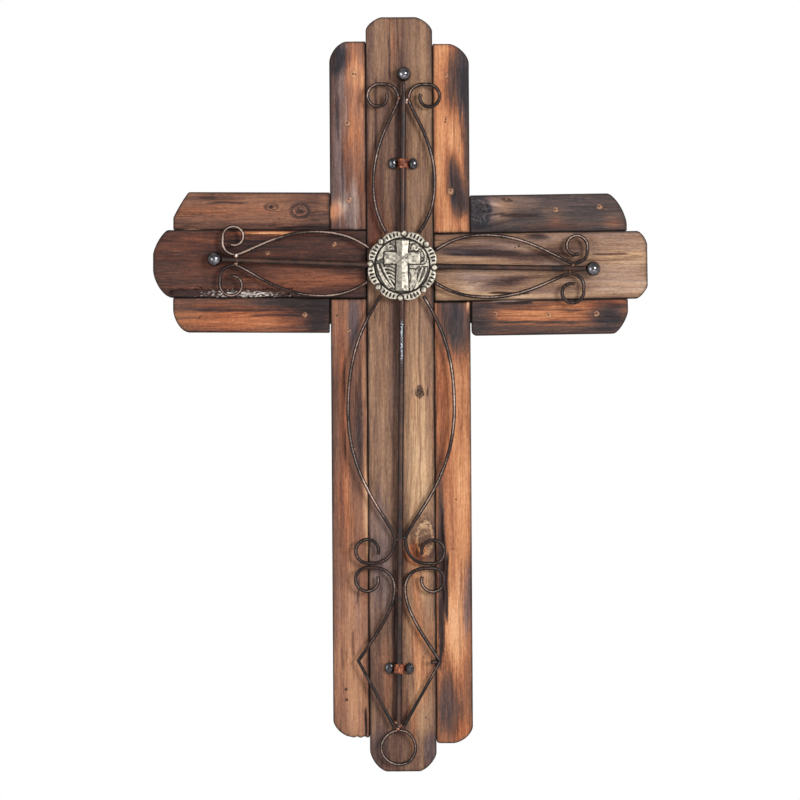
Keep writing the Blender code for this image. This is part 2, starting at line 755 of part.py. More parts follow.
def concho():
    """The casting over the crossing: lobed rim, berries, domed face and cross."""
    level = ROD_RADIUS + TOUCH_GAP
    seat = empty("concho_seat", iron, (0.0, 0.0, level))
    rim = flat_piece("concho", scalloped_outline(), CONCHO_RIM_THICKNESS)
    place(rim, seat, (0.0, 0.0, CONCHO_RIM_THICKNESS / 2), CONCHO_TWIST)
    ease_edges(rim, 0.0005)
    rim = as_mesh(rim)
    face = place(as_guide(turned_piece("medal_face", medal_profile(), 32)), seat, group=cutters)
    drop = (MEDAL_CROSS_HEIGHT - 2 * MEDAL_CROSS_DROP) / 2
    added = [face]
    added.append(
        roof_bar("medal_upright", seat, MEDAL_CROSS_HEIGHT, math.radians(90.0), (0.0, 0.0))
    )
    added.append(roof_bar("medal_arms", seat, MEDAL_CROSS_SPAN, 0.0, (0.0, drop)))
    for lobe in range(CONCHO_LOBES):
        angle = CONCHO_TWIST + 2 * math.pi * lobe / CONCHO_LOBES
        added.append(berry(f"berry_{lobe + 1}", seat, angle))
    for side, hand in ((-1, "left"), (1, "right")):
        start = math.radians(90.0 - side * 60.0)
        low = (side * 0.48 * MEDAL_RADIUS, -0.38 * MEDAL_RADIUS)
        high = (side * 0.44 * MEDAL_RADIUS, 0.64 * MEDAL_RADIUS)
        turn = -side * math.radians(330.0)
        added.append(
            medal_scroll(f"low_scroll_{hand}", seat, low, 0.26 * MEDAL_RADIUS, start, start + turn)
        )
        added.append(
            medal_scroll(f"high_scroll_{hand}", seat, high, 0.17 * MEDAL_RADIUS, start, start + turn)
        )
    for shape in added:
        boolean = rim.modifiers.new("Join " + shape.name, "BOOLEAN")
        boolean.operation = "UNION"
        boolean.object = shape
    finish(rim, OLD_SILVER, 0.4, 0.9)


for old in list(bpy.data.objects):
    bpy.data.objects.remove(old)

parts = new_collection("wall_cross")
cutters = new_collection("cutters")

bench = empty("bench", at=(0.0, 0.0, -HANGER_ABOVE_CROSSING))
bench.rotation_euler.x = math.radians(90.0)
iron = empty("iron", bench, (IRON_SHIFT_X, IRON_SHIFT_Y, ROD_LEVEL), IRON_TILT)
top_branch = empty("top_branch", iron, turn=math.radians(90.0))
bottom_branch = empty("bottom_branch", iron, turn=math.radians(-90.0))
left_branch = empty("left_branch", iron, turn=math.radians(180.0) + LEFT_ROD_TILT)
right_branch = empty("right_branch", iron, turn=RIGHT_ROD_TILT)

centre_board = as_mesh(upright_boards())
left_arm_boards()
right_arm_boards()
backing()
hanger()
rods()
ball("top_ball", top_branch, TOP_BALL_REACH)
ball("left_ball", left_branch, LEFT_BALL_REACH)
ball("right_ball", right_branch, RIGHT_BALL_REACH)
ring()
short_scrolls()
long_scrolls()
tail_scrolls()
strap("upper", UPPER_STRAP_REACH, centre_board)
strap("lower", -LOWER_STRAP_REACH, centre_board)
concho()
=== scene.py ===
# %% [markdown]
# # A torched wooden cross dressed with scrolled iron
#
# The real thing is a wall cross made by hand: eleven boards are torched, stained and
# butted together, iron rods and wires are welded into scrolls over them, and a cast
# silver concho hides the crossing. This lesson dresses the plain CAD model of it, piece
# by piece, until it looks like the real one.

# %% Load the frame
import math

import bpy
import numpy as np
from mathutils import Matrix, Vector, noise


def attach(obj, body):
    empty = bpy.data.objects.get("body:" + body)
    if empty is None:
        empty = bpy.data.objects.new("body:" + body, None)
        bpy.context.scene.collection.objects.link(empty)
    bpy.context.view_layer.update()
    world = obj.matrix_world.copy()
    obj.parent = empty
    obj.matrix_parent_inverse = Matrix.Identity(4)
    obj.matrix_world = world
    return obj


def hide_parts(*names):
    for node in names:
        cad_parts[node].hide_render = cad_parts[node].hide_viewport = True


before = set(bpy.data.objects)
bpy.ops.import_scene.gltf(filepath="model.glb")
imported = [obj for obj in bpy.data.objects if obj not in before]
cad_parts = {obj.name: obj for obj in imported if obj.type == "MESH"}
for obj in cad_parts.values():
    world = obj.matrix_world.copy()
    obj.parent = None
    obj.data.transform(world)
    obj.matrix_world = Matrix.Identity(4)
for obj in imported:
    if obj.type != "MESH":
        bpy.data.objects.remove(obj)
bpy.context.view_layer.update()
bpy.ops.object.select_all(action="DESELECT")

# %% [markdown]
# ## The bench
#
# A cross is laid out flat on a bench, so its sizes are easiest to think of there: x to
# the right, y up the cross, z from the wall to the viewer, and zero where the two middle
# lines cross. One matrix then stands the work up against the wall. Matrices like this
# are kept by name, and every piece is made straight in its own one. The empties of the
# CAD model could do the same job, but a finished piece has to lie at the origin anyway.

# %% Where things are on the bench
MM = 0.001
BENCH = Matrix.Translation((0.0, 0.0, -0.145)) @ Matrix.Rotation(math.radians(90.0), 4, "X")
ROD_LEVEL = 29.1 * MM
IRON = (
    BENCH
    @ Matrix.Translation((1.6 * MM, -1.1 * MM, ROD_LEVEL))
    @ Matrix.Rotation(math.radians(-0.78), 4, "Z")
)
BRANCHES = {
    "top": IRON @ Matrix.Rotation(math.radians(90.0), 4, "Z"),
    "bottom": IRON @ Matrix.Rotation(math.radians(-90.0), 4, "Z"),
    "left": IRON @ Matrix.Rotation(math.radians(180.0 - 1.65), 4, "Z"),
    "right": IRON @ Matrix.Rotation(math.radians(-0.42), 4, "Z"),
}
print("the crossing stands at", tuple(BENCH.translation))

# %% [markdown]
# ## The camera
#
# The picture was taken from straight in front with a long lens, and the cross hangs a
# third of a degree out of true. A lens this long keeps the boards' sides out of sight.
# Its length follows from how much of the front plane the square picture has to hold.

# %% Camera
PICTURE_WIDTH = 0.8087 * MM * 800
CAMERA_DISTANCE = 2.5
FRONT_PLANE = -0.022
SENSOR = 36.0
CAMERA_ROLL = math.radians(-0.36)

lens = bpy.data.cameras.new("camera")
lens.sensor_width = SENSOR
lens.lens = SENSOR * CAMERA_DISTANCE / PICTURE_WIDTH
camera = bpy.data.objects.new("camera", lens)
bpy.context.scene.collection.objects.link(camera)
camera.matrix_world = (
    Matrix.Translation((-0.0009, FRONT_PLANE - CAMERA_DISTANCE, -0.2542))
    @ Matrix.Rotation(math.radians(90.0), 4, "X")
    @ Matrix.Rotation(CAMERA_ROLL, 4, "Z")
)
bpy.context.scene.camera = camera
print("lens", round(lens.lens, 1), "mm")

# %% [markdown]
# ## Writing a finish as sums
#
# A procedural finish is a net of nodes. Wiring one by hand hides what it works out, so
# this small pair of classes lets a finish be written as sums: adding, taking away or
# multiplying two sockets adds the Math node that does it.

# %% Sockets that add up
FAR_AWAY = (9.0, 9.0, 9.0)


class Socket:
    """An output of a node that Python's own signs can work with."""

    def __init__(self, finish, socket):
        self.finish = finish
        self.socket = socket

    def sum(self, operation, first, second):
        return self.finish.node("ShaderNodeMath", {"operation": operation}, {0: first, 1: second})

    def __add__(self, other):
        return self.sum("ADD", self, other)

    def __radd__(self, other):
        return self.sum("ADD", other, self)

    def __sub__(self, other):
        return self.sum("SUBTRACT", self, other)

    def __rsub__(self, other):
        return self.sum("SUBTRACT", other, self)

    def __mul__(self, other):
        return self.sum("MULTIPLY", self, other)

    def __rmul__(self, other):
        return self.sum("MULTIPLY", other, self)

    def wave(self):
        return self.sum("SINE", self, 0.0)

    def least(self, other):
        return self.sum("MINIMUM", self, other)

    def between(self, low, high):
        """0 below low, 1 above high, and a soft step from one to the other."""
        values = {"Value": self, "From Min": low, "From Max": high}
        return self.finish.node("ShaderNodeMapRange", {"interpolation_type": "SMOOTHSTEP"}, values)


class Finish:
    """A material whose nodes are added one call at a time."""

    def __init__(self, name):
        self.material = bpy.data.materials.new(name)
        self.material.use_nodes = True
        self.tree = self.material.node_tree
        self.shader = self.tree.nodes["Principled BSDF"]

    def node(self, kind, settings=None, values=None, output=0):
        node = self.tree.nodes.new(kind)
        for key, value in (settings or {}).items():
            if key == "stops":
                self.set_stops(node.color_ramp, value)
            else:
                setattr(node, key, value)
        for key, value in (values or {}).items():
            self.feed(node.inputs[key], value)
        return Socket(self, node.outputs[output])

    def set_stops(self, ramp, stops):
        while len(ramp.elements) < len(stops):
            ramp.elements.new(0.5)
        for element, (position, colour) in zip(ramp.elements, stops):
            element.position = position
            element.color = (*colour, 1.0)

    def feed(self, entry, value):
        if isinstance(value, Socket):
            self.tree.links.new(value.socket, entry)
        elif entry.type == "RGBA":
            entry.default_value = (*value, 1.0)
        else:
            entry.default_value = value

    def set(self, **values):
        """Sets or links the shader's own sockets, with _ for a space in their names."""
        for key, value in values.items():
            self.feed(self.shader.inputs[key.replace("_", " ").title().replace("Ior", "IOR")], value)

    def vector(self, x, y, z):
        return self.node("ShaderNodeCombineXYZ", None, {0: x, 1: y, 2: z})

    def split(self, vector):
        return [self.node("ShaderNodeSeparateXYZ", None, {0: vector}, axis) for axis in range(3)]

    def place(self):
        """Where the shaded point is, in the piece's own metres."""
        return self.node("ShaderNodeTexCoord", output=3)

    def attribute(self, name):
        return self.node("ShaderNodeAttribute", {"attribute_name": name}, output=1)

    def clouds(self, vector, scale=1.0, detail=2.0, rough=0.5):
        values = {"Vector": vector, "Scale": scale, "Detail": detail, "Roughness": rough}
        return self.node("ShaderNodeTexNoise", None, values)

    def ramp(self, value, stops):
        return self.node("ShaderNodeValToRGB", {"stops": stops}, {0: value})

    def away_from(self, point):
        """Distance of the shaded point from a fixed point."""
        return self.node("ShaderNodeVectorMath", {"operation": "DISTANCE"}, {0: self.place(), 1: point}, 1)

    def nearest(self, spots):
        """Distance to the nearest of the spots, counted in that spot's own radius."""
        nearest = self.away_from(FAR_AWAY)
        for centre, radius in spots:
            nearest = nearest.least(self.away_from(centre) * (1.0 / radius))
        return nearest

    def mix(self, factor, below, above):
        return self.node("ShaderNodeMix", {"data_type": "RGBA"}, {0: factor, 6: below, 7: above}, 2)

    def bump(self, height, strength, distance):
        values = {"Height": height, "Strength": strength, "Distance": distance}
        self.set(normal=self.node("ShaderNodeBump", None, values))


def paint(red, green, blue):
    """A colour as a paint chart gives it, 0 to 255, turned into the light it sends back."""
    parts = [value / 255.0 for value in (red, green, blue)]
    return tuple(p / 12.92 if p < 0.04 else ((p + 0.055) / 1.055) ** 2.4 for p in parts)


print("mid brown sends back", [round(part, 3) for part in paint(140, 90, 66)])

# %% [markdown]
# ## How a torched board is coloured
#
# A gas torch turns soft wood from tan to orange-brown, then purple-brown, and last to
# blue-black charcoal. The soft early wood between the grain lines burns first, so each
# burn ends in streaks. The finish therefore reads one number, the toast, from the mesh,
# adds noise that is stretched along the grain, and looks the sum up on a colour ramp.
# On the middle board that number also carries a painted shadow along the upright rod.
# A painted picture would fix the detail at one size; this stays sharp at any distance.

# %% Finish of a torched board
STOPS = (0.0, 0.22, 0.42, 0.62, 0.82, 1.0)
PORE = paint(46, 32, 27)
PALE_FIBRE = paint(226, 186, 156)
HAIRLINE = paint(44, 28, 24)
TORN_BARK = paint(60, 41, 36)
EYE_RING = paint(74, 47, 38)
EYE_WOOD = paint(222, 166, 126)
HOLE_DARK = paint(48, 32, 27)
BURNT_EDGE = paint(60, 42, 36)
SOOT = paint(30, 23, 22)
OLD_PAINT = paint(228, 220, 212)
GRIME = paint(120, 106, 100)


def torched_wood(name, colours, eyes, holes, knot_line, seed, mottle):
    """Colours run from bare wood to charcoal. Eyes and holes are small knots: centre and radius."""
    wood = Finish(name)
    across, along, ring = wood.split(wood.attribute("grain"))
    toast_and_shadow, pale, rim = wood.split(wood.attribute("marks"))
    tint, bark, _ = wood.split(wood.attribute("tint"))
    drift = wood.clouds(wood.vector(across * 60.0, along * 9.0, seed), detail=3.0)
    streaks = wood.clouds(wood.vector(across * 230.0, along * 13.0, seed + 3.0), detail=4.0, rough=0.6)
    fibres = wood.clouds(wood.vector(across * 900.0, along * 70.0, seed + 6.0), detail=3.0, rough=0.6)
    flecks = wood.clouds(wood.vector(across * 760.0, along * 320.0, seed + 9.0), detail=2.0)
    pores = wood.clouds(wood.vector(across * 1250.0, along * 110.0, seed + 15.0), detail=2.0)
    shade = wood.clouds(wood.vector(across * 100.0, along * 13.0, seed + 12.0), detail=4.0, rough=0.6)
    lines = (across * 1500.0 + drift * 26.0 + streaks * 3.0).wave() * 0.5 + 0.5
    grain = (drift - 0.5) * 0.62 + (streaks - 0.5) * 0.60 + (fibres - 0.5) * 0.30
    grain = grain + (flecks - 0.5) * 0.30 + lines.between(0.80, 1.0) * 0.06

    in_knot = 1.0 - ring.between(0.85, 1.2)
    core = 1.0 - (ring + (flecks - 0.5) * 1.2).between(0.22, 0.5)
    knot_rings = (ring * 15.0 + streaks * 9.0 + flecks * 6.0).wave() * 0.5 + 0.5
    knot_edge = (1.0 - ring.between(1.0, 1.4)) * ring.between(0.7, 1.0)
    depth = toast_and_shadow + grain + in_knot * (knot_rings * 0.26 - 0.10) + core * 0.4 + knot_edge * 0.24
    hue = tint + (shade - 0.52) * mottle * 3.0
    colour = wood.ramp(depth, list(zip(STOPS, colours)))
    colour = wood.mix(hue.between(0.0, 0.8), colour, wood.ramp(depth, list(zip(STOPS, WARM))))
    colour = wood.mix((hue * -1.0).between(0.0, 0.8), colour, wood.ramp(depth, list(zip(STOPS, COLD))))
    colour = wood.mix(pores.between(0.54, 0.76) * 0.32, colour, PORE)
    colour = wood.mix((1.0 - fibres.between(0.28, 0.46)) * 0.07, colour, PALE_FIBRE)

    splits = wood.clouds(wood.vector(across * 170.0, along * 5.0, seed + 18.0), detail=3.0, rough=0.55)
    hairlines = (splits * 42.0).wave().between(0.84, 0.98) * shade.between(0.46, 0.60)
    colour = wood.mix(hairlines * 0.42, colour, HAIRLINE)
    torn = bark + (streaks - 0.5) * 1.3 + (fibres - 0.5) * 0.5 + (flecks - 0.5) * 0.4
    torn = torn.between(0.46, 0.60) * bark.between(0.08, 0.30)
    colour = wood.mix(torn * 0.78, colour, TORN_BARK)
    swirl = wood.clouds(wood.place(), scale=120.0, detail=3.0, rough=0.6)
    squiggles = (swirl * 44.0).wave().between(0.45, 0.95) * (1.0 - ring.between(0.9, 1.3))
    colour = wood.mix(squiggles * 0.66, colour, knot_line)
    eye = wood.nearest(eyes) + (flecks - 0.5) * 2.0 + (streaks - 0.5) * 1.8
    colour = wood.mix((1.0 - eye.between(1.0, 2.4)) * 0.30, colour, EYE_RING)
    colour = wood.mix((1.0 - eye.between(0.60, 1.25)) * 0.48, colour, EYE_WOOD)
    hole = wood.nearest(holes) + (flecks - 0.5) * 0.9 + (pores - 0.5) * 0.5
    colour = wood.mix((1.0 - hole.between(0.75, 1.25)) * 0.84, colour, HOLE_DARK)

    uneven = (streaks - 0.5) * 0.5 + (fibres - 0.5) * 0.4
    colour = wood.mix((rim + uneven).between(0.0, 0.95) * 0.42, colour, BURNT_EDGE)
    colour = wood.mix((rim + uneven * 0.7).between(0.58, 0.92) * 0.85, colour, SOOT)
    crumbs = (pale + (flecks - 0.5) * 2.2 + (pores - 0.5) * 1.0).between(0.48, 0.60) * pale.between(0.04, 0.2)
    old_paint = wood.mix(pores.between(0.40, 0.60), OLD_PAINT, GRIME)
    colour = wood.mix(crumbs, colour, old_paint)
    wood.set(base_color=colour, roughness=0.62 - (fibres - 0.5) * 0.5, specular_ior_level=0.22)
    wood.bump(streaks * 0.4 + fibres * 0.6 + flecks * 0.2 - pores * 0.4 - hairlines * 0.3, 0.85, 0.0010)
    return wood.material


def chart(*rows):
    """The colours of one stain, from bare wood to charcoal, as a paint chart gives them."""
    return tuple(paint(*row) for row in rows)


WARM = chart(
    (238, 178, 128), (210, 136, 88), (168, 96, 60), (116, 64, 44), (76, 46, 38), (44, 33, 33)
)
COLD = chart(
    (200, 178, 162), (166, 142, 130), (132, 108, 101), (98, 79, 78), (68, 58, 61), (40, 38, 44)
)
TORCHED = chart(
    (232, 178, 134), (206, 142, 98), (166, 104, 70), (112, 74, 57), (76, 57, 53), (44, 39, 41)
)
GREY_BROWN = chart(
    (212, 173, 134), (176, 137, 105), (139, 105, 82), (102, 73, 61), (72, 50, 44), (42, 33, 32)
)
RED_BROWN = chart(
    (196, 134, 98), (154, 104, 80), (118, 78, 62), (90, 58, 48), (62, 42, 38), (38, 32, 33)
)
WARM_BROWN = chart(
    (210, 160, 120), (176, 126, 94), (144, 98, 75), (110, 75, 60), (76, 53, 47), (44, 36, 36)
)
CHARRED = chart(
    (170, 132, 106), (140, 108, 88), (110, 86, 75), (84, 69, 64), (64, 56, 56), (40, 38, 42)
)
print("seven stains with", len(TORCHED), "depths of toast each")

# %% [markdown]
# ## Marks on the boards
#
# A torch, a knot or a patch of old paint marks a board at one place. Each mark is a soft
# oval on the bench, in millimetres from the crossing: where it lies, how far it reaches
# across and up, how strong it is, and, if it leans, by how many degrees. One table adds
# to the toast, and on the middle board it also lays a painted shadow along the upright
# rod; one warms or cools the colour, one leaves dark torn bark and one leaves old paint.
# Knots, eyes and holes are given by their middle and size. A knot also pushes
# the grain lines aside, the way a branch does while the tree grows.

# %% Marks and knots by board
TOAST_AND_SHADOW = {
    "upright_centre_board": (
        (-15, 60, 12, 90, 0.06), (-22.5, 44, 3.5, 26, 0.18), (14, 95, 9, 60, -0.1),
        (-22, 160, 4, 40, 0.1), (-14, -100, 13, 80, -0.02), (-14, -190, 12, 60, -0.06),
        (14.5, -110, 11, 85, -0.28), (15.5, -180, 10, 60, -0.2), (21, -100, 2, 90, 0.12),
        (-16, -300, 11, 80, 0.1), (15, -290, 11, 46, -0.22), (17, -360, 9, 40, -0.1),
        (22, -392, 6, 14, 0.3), (-18, -394, 8, 12, 0.18), (18, -216, 9, 14, -0.12),
        # The next two marks are painted shadow: dark bands along the upright rod.
        (0.5, 80, 5, 80, 0.26), (-3.5, -200, 4.5, 190, 0.26),
    ),
    "upright_upper_left_board": (
        (-51.5, 170, 8, 13, 0.7, -12), (-53, 110, 5, 90, 0.24), (-34, 120, 7, 50, -0.2),
        (-36, 154, 8, 9, -0.22), (-41, 52, 6, 10, -0.1), (-53, 44, 6, 9, -0.6, 30),
        (-44, 80, 6, 20, 0.1),
    ),
    "upright_upper_right_board": (
        (48, 154, 11, 28, 0.66, 4), (55, 92, 3.5, 70, 0.52), (46, 56, 6, 30, 0.78, -9),
        (53, 33, 6, 11, -0.58, -20), (33, 110, 7, 60, -0.1), (31, 40, 4, 20, 0.12),
    ),
    "upright_lower_left_board": (
        (-38, -52, 4, 26, 0.16), (-35, -128, 5.5, 46, 0.34), (-29.5, -130, 2.2, 60, -0.42),
        (-28.4, -203, 2.4, 28, -0.5), (-41, -312, 15, 75, -0.22), (-53, -200, 5, 120, 0.1),
        (-48, -230, 3, 60, 0.12), (-50, -360, 3, 26, 0.16),
    ),
    "upright_lower_right_board": (
        (43, -44, 14, 24, 0.56), (34, -118, 6, 60, 0.14), (54.6, -30, 1.6, 8, -0.6),
        (51, -200, 7, 105, -0.06), (32, -243, 3.6, 52, 0.66), (42, -294, 8, 30, -0.26, -8),
        (37, -358, 9, 26, 0.46), (50, -340, 7, 40, 0.16), (53.5, -268, 4, 26, 0.3),
    ),
    "arm_left_middle_board": (
        (-76, -11, 34, 9, -0.32), (-180, 4, 18, 22, -0.08), (-120, 16, 60, 7, 0.08),
        (-104, 26.4, 24, 1.8, -0.75), (-160, 21, 14, 2, -0.2, 8),
    ),
    "arm_left_top_board": (
        (-120, 46, 50, 8, -0.06), (-112, 31, 60, 4, 0.22), (-68, 42, 14, 16, 0.2),
        (-80.8, 44.5, 12, 10, 0.02), (-62, 50, 4, 6, -0.16), (-152, 55.5, 20, 2, 0.24),
        (-168, 29.2, 12, 1.4, -0.7),
    ),
    "arm_left_bottom_board": (
        (-65, -41, 11, 15, 0.42), (-80, -40, 16, 14, 0.2), (-90, -31, 34, 5, 0.34),
        (-140, -46, 34, 8, -0.12), (-156, -34, 24, 1.6, 0.3),
    ),
    "arm_right_middle_board": (
        (70, 9.5, 30, 3.6, 0.7, 2), (86, -14.5, 15, 3.4, 0.52, -6), (111, 22.5, 8, 2.4, 0.56),
        (122, 10, 24, 5, 0.34, -12), (60, 20, 30, 5, 0.24), (86, -25.4, 20, 1.3, -0.45),
        (56, -19, 7, 4, -0.2), (184, 0, 24, 24, -0.14), (150, -20, 40, 4, 0.08),
    ),
    "arm_right_top_board": (
        (92, 51, 24, 6, -0.54, 4), (80, 42, 12, 7, -0.52, 12), (124, 33, 44, 4, -0.15),
        (126, 41, 9, 9, -0.26), (174, 33, 9, 8, -0.26), (64.5, 44, 9, 11, 0.34),
    ),
    "arm_right_bottom_board": (
        (118, -40, 40, 8, -0.28), (64, -45, 10, 13, 0.3), (168, -42, 12, 9, 0.44, 8),
        (110, -52.5, 46, 3.4, 0.24), (92, -34, 24, 2, 0.22), (88, -29.2, 22, 1.3, -0.62),
    ),
}
TINT = {
    "upright_centre_board": (
        (-22, 50, 5, 40, 0.7), (-12, 20, 10, 20, 0.35), (14, -130, 12, 120, 0.05),
        (-16, -235, 8, 45, -0.7), (12, -320, 13, 70, 0.42), (11, -233, 7, 7, 0.9),
        (-14, -340, 10, 40, 0.3), (-19, -388, 7, 18, -0.5), (22, -392, 6, 14, -0.8),
    ),
    "upright_upper_left_board": (
        (-51, 90, 6, 70, -0.6), (-35, 120, 7, 50, 0.5), (-42, 48, 12, 22, -0.5), (-54, 44, 5, 9, 0.6),
    ),
    "upright_upper_right_board": ((33, 100, 8, 70, 0.35), (52, 150, 6, 30, -0.5)),
    "upright_lower_left_board": (
        (-35, -128, 6, 50, -0.15), (-48, -80, 9, 60, 0.4), (-46, -200, 9, 50, 0.3),
        (-38, -50, 4, 26, -1),
    ),
    "upright_lower_right_board": (
        (34, -120, 6, 60, 0.5), (43, -44, 14, 24, -0.5), (53, -268, 6, 30, -0.6),
        (47, -376, 10, 10, 0.6), (50, -180, 8, 80, 0.2), (37, -360, 7, 24, -0.4),
    ),
    "arm_left_middle_board": (
        (-125, 12, 60, 14, 0.35), (-115, 0, 110, 60, 0.4), (-104, 26.4, 24, 1.8, 0.9),
        (-190, 0, 14, 30, -0.2),
    ),
    "arm_left_top_board": ((-140, 44, 40, 9, 0.25), (-95, 31, 40, 3, 0.4), (-68, 44, 12, 14, -0.1)),
    "arm_left_bottom_board": (
        (-135, -42, 45, 14, 0.6), (-66, -41, 12, 15, 0.4), (-86, -40, 16, 14, 0.4),
    ),
    "arm_right_middle_board": (
        (60, 20, 34, 7, 0.25), (70, 9.5, 30, 3.2, -0.2), (120, 10, 26, 5, 0.4, -12),
        (150, 0, 70, 40, -0.3), (60, -14, 16, 7, -0.5), (62, 18, 28, 9, -0.5),
    ),
    "arm_right_top_board": (
        (120, 31, 60, 4, 0.25), (176, 34, 8, 10, 0.2), (126, 42, 9, 10, 0.25), (65, 44, 10, 12, -1),
        (135, 49, 40, 6, -0.4),
    ),
    "arm_right_bottom_board": (
        (118, -41, 42, 9, 0.15), (165, -32, 16, 4, 0.6), (88, -29.2, 22, 1.3, -1.2),
    ),
}
BARK = {
    "upright_centre_board": (
        (16, -102.8, 6.2, 6, 0.8), (-20, 158, 3, 26, 0.4), (22, 120, 1.6, 40, 0.36),
        (16, -330, 3, 40, 0.3),
    ),
    "upright_upper_left_board": ((-52, 168, 5, 12, 0.5, -12), (-46, 96, 3, 40, 0.34)),
    "upright_upper_right_board": ((47, 60, 3, 26, 0.5, -9), (52, 150, 4, 20, 0.45, 4)),
    "upright_lower_left_board": (
        (-34.5, -124, 4, 38, 0.42), (-44, -300, 10, 60, 0.22), (-30, -240, 2, 60, 0.38),
    ),
    "upright_lower_right_board": (
        (33.5, -240, 3.4, 50, 0.72), (32, -300, 3, 26, 0.55), (37, -356, 5, 24, 0.4),
        (53.5, -58, 3, 20, 0.55),
    ),
    "arm_left_middle_board": ((-120, 24.6, 34, 1.6, 0.6), (-62, 18, 14, 3, 0.4, 8)),
    "arm_left_top_board": (
        (-155, 55.6, 9, 1.3, 0.8), (-92, 38, 14, 1.6, 0.6, 5), (-66, 36, 12, 3, 0.55, 20),
        (-118, 32, 40, 1.8, 0.5),
    ),
    "arm_left_bottom_board": ((-128, -35.4, 42, 1, 0.7), (-96, -31, 28, 1.8, 0.55)),
    "arm_right_middle_board": (
        (77, 9.5, 23, 3, 0.8, 2), (86, -14.5, 14, 2.8, 0.74, -6), (111.5, 23.2, 7, 2.2, 0.8),
        (126, 9, 18, 4, 0.42, -12), (62, 19.5, 22, 2.4, 0.5), (173, 7, 14, 1, 0.6, 3),
        (88, -24.8, 20, 1.6, 0.6),
    ),
    "arm_right_top_board": ((92, 40, 24, 2.4, 0.62, 4), (87, 52.6, 5, 2.4, 0.6)),
    "arm_right_bottom_board": ((88, -31.5, 22, 1.2, 0.7), (120, -47.5, 44, 1.2, 0.5)),
}
KNOTS = {
    "upright_centre_board": ((18, -221, 10, 18),),
    "arm_left_top_board": ((-104.2, 47.7, 5.2, 2.8), (-80.8, 44.5, 7.2, 5.6)),
    "arm_right_top_board": ((64.5, 44, 8, 10.5),),
}
EYES = {
    "upright_upper_left_board": ((-36.2, 154.6, 2.6), (-41.8, 115, 1.9), (-41, 53, 2.1)),
    "upright_upper_right_board": ((38.4, 153, 1.5), (41.4, 59.5, 2.3)),
    "upright_lower_left_board": ((-41.8, -52.6, 1.4), (-40.5, -227, 1.4), (-39, -149.5, 1.6)),
    "arm_left_middle_board": ((-53, 17, 1.5), (-107, 10.5, 1.4)),
    "arm_left_bottom_board": ((-77.4, -39.6, 1.7),),
    "arm_right_top_board": ((126, 43.7, 2.1), (161.6, 46.1, 2), (86, 53, 1.4)),
    "arm_right_bottom_board": ((77.2, -40.4, 1.6), (120, -41.2, 1.7), (159, -40.4, 2)),
}
HOLES = {
    "upright_centre_board": (
        (18.5, -366, 0.7), (14, -101.6, 1.1), (16.6, -102.6, 1.3), (14.9, -104.6, 1), (17.8, -105, 0.9),
        (16.2, -100.2, 0.7), (12.6, -105.8, 0.6),
    ),
    "upright_upper_left_board": (
        (-37.4, 154.9, 0.9), (-35.2, 154.5, 0.8), (-42.3, 115.4, 1), (-41.5, 53.3, 0.8),
    ),
    "upright_upper_right_board": (
        (37, 115.6, 0.9), (37.4, 117.6, 0.8), (37.9, 119.2, 0.6), (38, 153.4, 0.7), (40.9, 60, 0.9),
    ),
    "upright_lower_left_board": (
        (-46, -343, 1.3), (-45.5, -351.5, 1.3), (-51.5, -40.5, 0.9), (-42.2, -52.2, 0.8),
        (-40.9, -226.6, 0.9), (-39.4, -149, 0.8),
    ),
    "upright_lower_right_board": ((41, -230, 0.7), (44, -190, 0.8)),
    "arm_left_middle_board": ((-43, 6, 0.8), (-53.4, 17.3, 0.7), (-107.3, 10.8, 0.7)),
    "arm_left_top_board": ((-104.2, 47.7, 1.4), (-80.2, 43.6, 1.3), (-82, 45.6, 0.9)),
    "arm_left_bottom_board": ((-162.6, -41.6, 0.8), (-77.8, -39.3, 0.8)),
    "arm_right_middle_board": ((96, 14.5, 0.9), (140, 6.5, 0.9), (93, 13.6, 0.6), (135.5, 6.9, 0.7)),
    "arm_right_top_board": ((125.6, 44.2, 0.9), (161.2, 46.5, 0.8), (85.6, 53.2, 0.8)),
    "arm_right_bottom_board": ((76.8, -40.1, 0.9), (119.6, -41, 0.9), (158.6, -40, 1)),
}
PALE = {
    "arm_left_middle_board": ((-136, -22.6, 27, 3.6, 0.56), (-108, -23, 26, 2.2, 0.34)),
}
print("boards with eyes", len(EYES), "and marks", sum(len(marks) for marks in TOAST_AND_SHADOW.values()))

# %% [markdown]
# ## Reading a mark at many points
#
# Every board has thousands of points, so the marks are read for all of them at once, as
# arrays. An oval's edge is blurred by noise stretched along the grain, so that a burn
# licks along the board and never ends in a clean curve.

# %% Ovals and rough noise


def rough(x, y, seed):
    """Noise between -1 and 1 at each pair of numbers."""
    return np.array([noise.noise(Vector((a, b, seed))) for a, b in zip(x, y)])


def ovals(marks, x, y, wobble):
    """How strongly each point is marked. A sixth number in a mark is its lean."""
    total = np.zeros(len(x))
    for middle_x, middle_y, reach_x, reach_y, amount, *lean in marks:
        turn = math.radians(sum(lean))
        right = (x - middle_x * MM) * math.cos(turn) - (y - middle_y * MM) * math.sin(turn)
        up = (x - middle_x * MM) * math.sin(turn) + (y - middle_y * MM) * math.cos(turn)
        far = (right / (reach_x * MM)) ** 2 + (up / (reach_y * MM)) ** 2
        total += amount / (1.0 + np.exp(4.0 * (np.sqrt(far) + wobble - 1.0)))
    return total


def knot_distance(knots, x, y):
    """How far each point is from the nearest knot, counted in that knot's own radius."""
    nearest = np.full(len(x), 9.0)
    for middle_x, middle_y, reach_x, reach_y in knots:
        far = np.hypot((x - middle_x * MM) / (reach_x * MM), (y - middle_y * MM) / (reach_y * MM))
        nearest = np.minimum(nearest, far)
    return nearest


print("noise at three points", rough((0.1, 0.5, 2.3), (0.2, 0.9, 1.1), 0.0).round(2))

